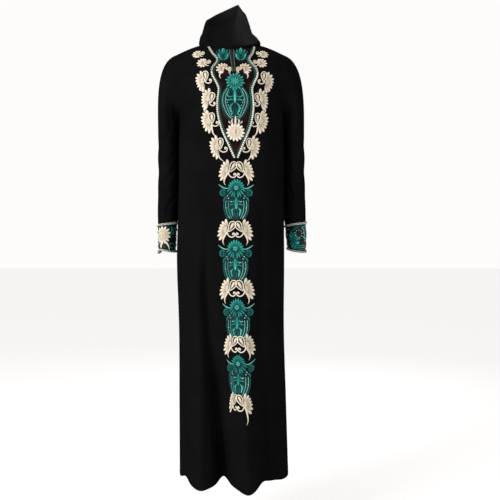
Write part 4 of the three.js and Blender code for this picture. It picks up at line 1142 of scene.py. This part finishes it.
def rowAlong(name, paths, spacing, radius, stretch, material):
    points = np.concatenate(paths) / 1000
    edges, offset = [], 0
    for path in paths:
        edges += [(offset + i, offset + i + 1) for i in range(len(path) - 1)]
        offset += len(path)
    guide = bpy.data.meshes.new(name + "Path")
    guide.from_pydata(points.tolist(), edges, [])
    holder = bpy.data.objects.new(name + "Path", guide)
    scene.collection.objects.link(holder)
    modifier = holder.modifiers.new("row", "NODES")
    modifier.node_group = rowNodes
    given = {"Spacing": spacing / 1000, "Radius": radius / 1000, "Stretch": stretch, "Material": material}
    for key, value in given.items():
        modifier[rowSockets[key]] = value
    bpy.context.view_layer.update()
    result = bpy.data.meshes.new_from_object(holder.evaluated_get(bpy.context.evaluated_depsgraph_get()))
    result.name = name
    holder.modifiers.remove(modifier)
    bpy.data.objects.remove(holder)
    piece = bpy.data.objects.new(name, result)
    scene.collection.objects.link(piece)
    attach(piece, "root")
    print(f"{name}: {len(result.polygons)} faces")
    return piece


beadPaths = []
for side, way in (("left", -1), ("right", 1)):
    zs = np.linspace(yoke["outline"]["z"][0], yoke["outline"]["z"][-1], 1200)
    flat = np.stack([yokeEdge(way, zs), zs], axis=-1)
    run = np.concatenate([[0], np.cumsum(np.linalg.norm(np.diff(flat, axis=0), axis=-1))])
    even = np.linspace(0, run[-1], 420)
    flat = np.stack([np.interp(even, run, flat[:, 0]), np.interp(even, run, flat[:, 1])], axis=-1)
    path, outward = onFront(flat)
    path = path + outward * (yoke["cordRadius"] + body["seamGap"])
    cord = twistedCord(f"yokeCord{side.title()}", path, outward, yoke["cordRadius"], yoke["twist"], False,
                       looks["cord"])
    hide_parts(f"yoke_cord_{side}")
    beadPaths.append((path + outward * yoke["beadLift"])[flat[:, 1] < yoke["beadsFrom"]])
rowAlong("yokeBeads", beadPaths, yoke["beadSpacing"], yoke["beadRadius"], 1.0, looks["pearl"])
print("yoke trimmed")

# ---- cuffs ----
for side in ("left", "right"):
    standOut = (cuff["wall"] - body["wall"]) / 2
    outerWall, innerWall = (cuffGrid(side, out, cuff["rows"]) for out in (standOut, standOut - cuff["wall"]))
    shade = np.full(outerWall.shape[:2], cuff["satinShade"])
    band = wallPiece("cuff" + side.title(), outerWall, innerWall, True, {"shade": shade}, "satin")
    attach(band, "root")
    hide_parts(f"cuff_{side}")
    for edge in ("top", "bottom"):
        around = np.linspace(180, -180, 361)
        inset = cuff["cordRadius"] if edge == "bottom" else 0
        zs = cuffEdge(side, edge, around) + inset
        away = cuff["wall"] / 2 + body["seamGap"] + cuff["cordDepth"]
        path = sleevePoint(side, around, zs, away, plain=True)
        outward = path - sleevePoint(side, around, zs, 0, plain=True)
        outward /= np.linalg.norm(outward, axis=-1, keepdims=True)
        cord = twistedCord(f"cuffCord{side.title()}{edge.title()}", path, outward, cuff["cordDepth"],
                           cuff["cordTwist"], True, looks["cord"], spread=cuff["cordSpread"])
        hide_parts(f"cuff_cord_{side}_{edge}")

# both patterns go all the way round: the motif sits in front and once more behind
cuffWork = {"halfway": 124, "flower": (12, 49, 28), "burst": (-12, 33), "ring": (15, 21, 10.5)}
creamCuff, leafCuff, swirlCuff, dotCuff = Stitching(), Stitching(), Stitching(), Stitching()
for shift in (0, cuffWork["halfway"]):
    fu, fv, radius = cuffWork["flower"]
    flower = spot(fu + shift, fv)
    turns = [12 + 360 / 14 * k for k in range(14)]
    petals(creamCuff, flower, (0, 0), turns, [radius] * 14, 9.0, 1.0)
    creamCuff.shape(flower, [(0, -8), (0, 8)], 10, "bud", height=1.8, lift=1.6, shade=0.7, root=0)
    corner = spot(shift, 0)
    for line, width, profile in (([(12, 26), (17, 17), (16, 8)], 6.5, "leaf"),
                                 ([(-2, 28), (-8, 19), (-13, 6)], 5.5, "taper")):
        creamCuff.shape(corner, line, width, profile, height=1.5, lift=0.6, shade=1.0, root=0)
    leaves = [
        [(-14, 54), (-19, 62), (-17, 72)], [(-19, 54), (-26, 60), (-28, 70)], [(-15, 50), (-24, 51), (-32, 57)],
        [(-24, 66), (-34, 68), (-42, 62)], [(-12, 22), (-20, 26), (-30, 22)], [(-14, 16), (-22, 12), (-32, 14)],
        [(-34, 40), (-46, 44), (-56, 38)], [(-36, 30), (-48, 28), (-58, 32)], [(58, 60), (66, 66), (76, 62)],
        [(54, 24), (64, 18), (74, 22)], [(60, 44), (70, 48), (82, 42)], [(58, 36), (68, 32), (80, 36)]]
    for line in leaves:
        leafCuff.shape(corner, line, 6.4, "leaf", shade=0.4, root=0.1, lift=0.3)
        leafCuff.shape(corner, line, 1.4, "band", shade=0.9, height=0.8, root=0, lift=1.3)

    bu, bv = cuffWork["burst"]
    burst = spot(bu + shift, bv)
    ground(swirlCuff, burst, [(-4, 26), (-3, 0), (-4, -26)], 38, 0.5)
    swirls = [
        ([(-2, 3), (-10, 11), (-18, 23)], 8.4, 0.96), ([(-3, 6), (-6, 18), (-9, 32)], 5.4, 0.86),
        ([(-6, 0), (-14, 3), (-22, 9)], 5.6, 0.9), ([(1, 5), (5, 12), (6, 21)], 4.6, 0.84),
        ([(3, 2), (12, 6), (22, 8)], 6.6, 0.88), ([(2, -3), (9, -6), (17, -3)], 9.0, 0.97),
        ([(-3, -4), (-11, -7), (-18, -12)], 6.0, 0.9), ([(0, -6), (-5, -13), (-12, -22)], 6.8, 0.97),
        ([(3, -6), (3, -15), (-2, -25)], 5.6, 0.86), ([(4, -8), (14, -13), (30, -12), (44, -16)], 2.6, 1.0),
        ([(4, -13), (14, -19), (30, -18), (42, -21)], 2.6, 0.98), ([(6, -18), (16, -25), (32, -24)], 2.2, 0.9),
        ([(-15, 36), (-4, 33), (8, 38), (20, 41)], 2.4, 0.8), ([(22, 41), (32, 38), (42, 43)], 4.4, 0.96),
        ([(30, 24), (40, 12), (46, -2)], 5.4, 0.6), ([(34, 36), (46, 26), (54, 10)], 5.0, 0.74),
        ([(-34, 30), (-40, 16), (-38, 0)], 5.4, 0.6), ([(-30, -6), (-40, -12), (-44, -24)], 5.4, 0.7),
        ([(58, 30), (66, 18), (64, 4)], 5.8, 0.72), ([(56, -4), (66, -10), (70, -22)], 5.8, 0.66)]
    for line, width, shade in swirls:
        swirlCuff.shape(burst, line, width, "leaf", shade=shade, root=0.3, lift=0.3)
    for line in ([(26, 36), (34, 30), (36, 20)], [(30, 24), (38, 16), (40, 4)], [(28, 14), (36, 8), (44, 6)]):
        swirlCuff.shape(burst, line, 2.0, "band", shade=0.98, root=0, edge=0.1, lift=1.0)
    ringU, ringV, ringRadius = cuffWork["ring"]
    dots = [(ringU + ringRadius * math.cos(0.7 * k), ringV + ringRadius * math.sin(0.7 * k)) for k in range(9)]
    for du, dv in dots + [(-18, 37), (38, 1), (-28, 20), (30, 34)]:
        dotCuff.shape(burst, [(du - 1.1, dv - 1.1), (du + 1.1, dv + 1.1)], 2.6, "bud", shade=0.7, root=0, edge=0.1,
                      height=1.5, lift=1.0)
creamCuff.sew("cuffFlowerLeft", onCuff("left"), looks["cream"], "cream_thread")
leafCuff.sew("cuffLeavesLeft", onCuff("left"), looks["teal"], "green_thread")
swirlCuff.sew("cuffSwirlsRight", onCuff("right"), looks["teal"], "green_thread")
dotCuff.sew("cuffDotsRight", onCuff("right"), looks["cord"], "cream_thread")
print("cuffs made")

# ---- hood ----
hood = {
    "cut": (0.28, 0.36), "overlap": 0.05, "clearance": 10, "frontGap": 1.5, "seamGap": -0.4, "rows": 70,
    "neckSteps": 90, "bow": 3.5, "fallFrom": 98, "fallOver": 50, "hemFrom": 0.93, "hemExtra": 0.9, "stitchLift": 0.2,
    "rim": {
        "left": table("angle x y z", [
            (5, -9, -84, -18), (35, -59, -67, -9), (60, -87, -38, 13), (85, -94.5, 0, 40), (100, -92, 22, 64),
            (115, -84, 42, 99), (130, -70, 58, 115), (145, -52, 70, 130), (160, -30, 77, 143), (180, 22, 80, 168)]),
        "right": table("angle x y z", [
            (5, 5, -84, -18), (35, 55, -66, -12), (60, 80, -38, 6), (85, 81, -2, 31), (95, 72, 8, 43),
            (104, 64, 17, 55), (120, 60.5, 34, 79), (135, 55, 48, 102), (150, 48, 62, 127),
            (165, 38, 72, 143), (180, 22, 80, 168)])},
    "fall": table("along out up toRim", [
        (0, 0, 0, 0), (0.06, 2, 9, 0), (0.13, 13, 15, 0), (0.22, 30, -2, 0), (0.32, 40, -48, 0), (0.42, 50, -98, 0),
        (0.5, 68, -118, 0), (0.58, 84, -94, 0), (0.72, 90, -20, 0.12), (0.86, 62, 20, 0.52), (1, 0, 0, 1)]),
    "creases": {  # angle and along (x 100) of both ends, bend, width, depth
        "left": [(60, 10, 96, 80, 4, 7, 2.6), (110, 20, 128, 92, -5, 6, 3.2), (132, 30, 150, 96, 4, 6, 2.8),
                 (152, 40, 166, 98, -3, 5, 2.6), (30, 20, 64, 70, 4, 6, 1.6), (84, 46, 118, 96, 4, 5, -2.0)],
        "right": [(52, 14, 92, 76, -4, 7, 2.4), (104, 24, 124, 90, 5, 6, 3.0), (128, 30, 146, 96, -4, 6, 2.8),
                  (150, 44, 168, 98, 3, 5, 2.4), (34, 16, 60, 72, -4, 6, 1.6), (80, 50, 112, 94, -4, 5, -2.0)]},
}


def neckline(side):
    way = -1 if side == "left" else 1
    steps = hood["neckSteps"]
    angle = np.linspace(0, 180, steps + 1)
    share = np.sin(np.radians(angle))

    def rim(level, turned):
        across = way * np.abs(np.sin(np.radians(turned))) * body["neckHalf"] / body["shoulderHalf"]
        grid = np.arcsin(signedPower(across, body["planPower"] / 2))
        front, back = (bodyPoint(panel, grid, np.full(grid.shape, level), plain=True) for panel in ("front", "back"))
        return np.where((turned <= 90)[:, None], front, back)

    outer = rim(2.0, angle)
    outer[np.argmin(np.abs(angle - 90)), 1] = 0
    edge = np.gradient(outer, axis=0)
    below = rim(1.96, angle)
    thick = np.cross(edge, below - outer)
    thick /= np.linalg.norm(thick, axis=-1, keepdims=True)
    thick *= np.sign(thick[:, 2:] + 1e-9)
    middle = np.array([body["topCentreX"], 0, 0])
    away = np.cross(edge, thick)
    away /= np.linalg.norm(away, axis=-1, keepdims=True)
    away *= np.sign(np.einsum("ij,ij->i", away, middle - outer) + 1e-9)[:, None]
    return angle, outer, away


def restOnBack(point):
    for halfWidth in (bodyAt("halfWidth", -body["shoulderRound"]), body["shoulderHalf"]):
        across = np.clip((point[..., 0] - body["topCentreX"]) / halfWidth, -1, 1)
        capBase = shoulderLine(across) - body["shoulderRound"]
        depth = panelDepth("back", across, np.minimum(point[..., 2], capBase)) + hood["clearance"]
        reach = np.hypot(point[..., 1] / depth, (point[..., 2] - capBase) / (body["shoulderRound"] + hood["clearance"]))
        below = point[..., 2] < capBase
        inside = ~below & (reach < 1) & (point[..., 1] > 0)
        y = np.where(below, np.maximum(point[..., 1], depth), np.where(inside, point[..., 1] / reach, point[..., 1]))
        z = np.where(inside, capBase + (point[..., 2] - capBase) / reach, point[..., 2])
        point = np.stack([point[..., 0], y, z], axis=-1)
    return point


def hoodGrid(side):
    way = -1 if side == "left" else 1
    angle, outer, away = neckline(side)
    seam = outer + away * hood["seamGap"]
    along = np.linspace(0, 1, hood["rows"])[:, None]
    turned = np.broadcast_to(angle[None, :], (hood["rows"], len(angle)))
    rim = [columnAt(hood["rim"][side], "angle", axis, turned) for axis in "xyz"]
    fall = ease(np.clip((turned - hood["fallFrom"]) / hood["fallOver"], 0, 1))
    toRim = lerp(along, columnAt(hood["fall"], "along", "toRim", along), fall)
    bow = hood["bow"] * (1 - fall) * np.sin(np.pi * along) ** 2
    sin, cos = np.sin(np.radians(turned)), np.cos(np.radians(turned))
    point = np.stack([
        lerp(seam[None, :, 0], rim[0], toRim) + way * bow * sin,
        lerp(seam[None, :, 1], rim[1], toRim) + fall * columnAt(hood["fall"], "along", "out", along) - bow * cos,
        lerp(seam[None, :, 2], rim[2], toRim) + fall * columnAt(hood["fall"], "along", "up", along)], axis=-1)
    rests = (along > 0.1) & (turned > 90)
    point = np.where(rests[..., None], restOnBack(point), point)
    point[0] = seam
    point[:, 0, 0] = body["topCentreX"] + way * hood["frontGap"]
    point[:, -1, 0] -= way * hood["overlap"]
    normal = way * gridNormals(point, False)
    crease = creaseHeight(hood["creases"][side], turned, along * 100)
    point = point - normal * crease[..., None] * np.sin(np.pi * np.clip(along, 0, 0.5))[..., None]
    inward = way * gridNormals(point, False)
    for column in (0, -1):
        inward[:, column, 0] = 0
        inward[:, column] /= np.linalg.norm(inward[:, column], axis=-1, keepdims=True)
    hem = 1 + hood["hemExtra"] * np.clip((along - hood["hemFrom"]) / 0.01, 0, 1)  # the rim is turned under
    lining = point + inward * body["wall"] * hem[..., None]
    return point, lining


hoodRims = []
for side in ("left", "right"):
    face, lining = hoodGrid(side)
    # the hood's inner side is painted paler: painted light in its shaded hollow
    piece = wallPiece("hood" + side.title(), face, lining, False, paintedLightInside=True)
    declareSheet(piece, face, f"hood_{side}", hood["cut"])
    raised = face + (face - lining) / body["wall"] * hood["stitchLift"]
    hoodRims += [raised[-6], raised[6:, -3]]
print("hood made")

hemLines = []
for panel in ("front", "back"):
    face, lining = grids[panel]
    for row in (3, 1):
        hemLines.append(face[row, 1:-1] + (face - lining)[row, 1:-1] * 0.06)
rowAlong("hemStitches", hemLines, 4.4, 0.42, 3.6, looks["crepe"])
rowAlong("hoodStitches", hoodRims, 4.0, 0.4, 3.4, looks["crepe"])
print("stitches made")
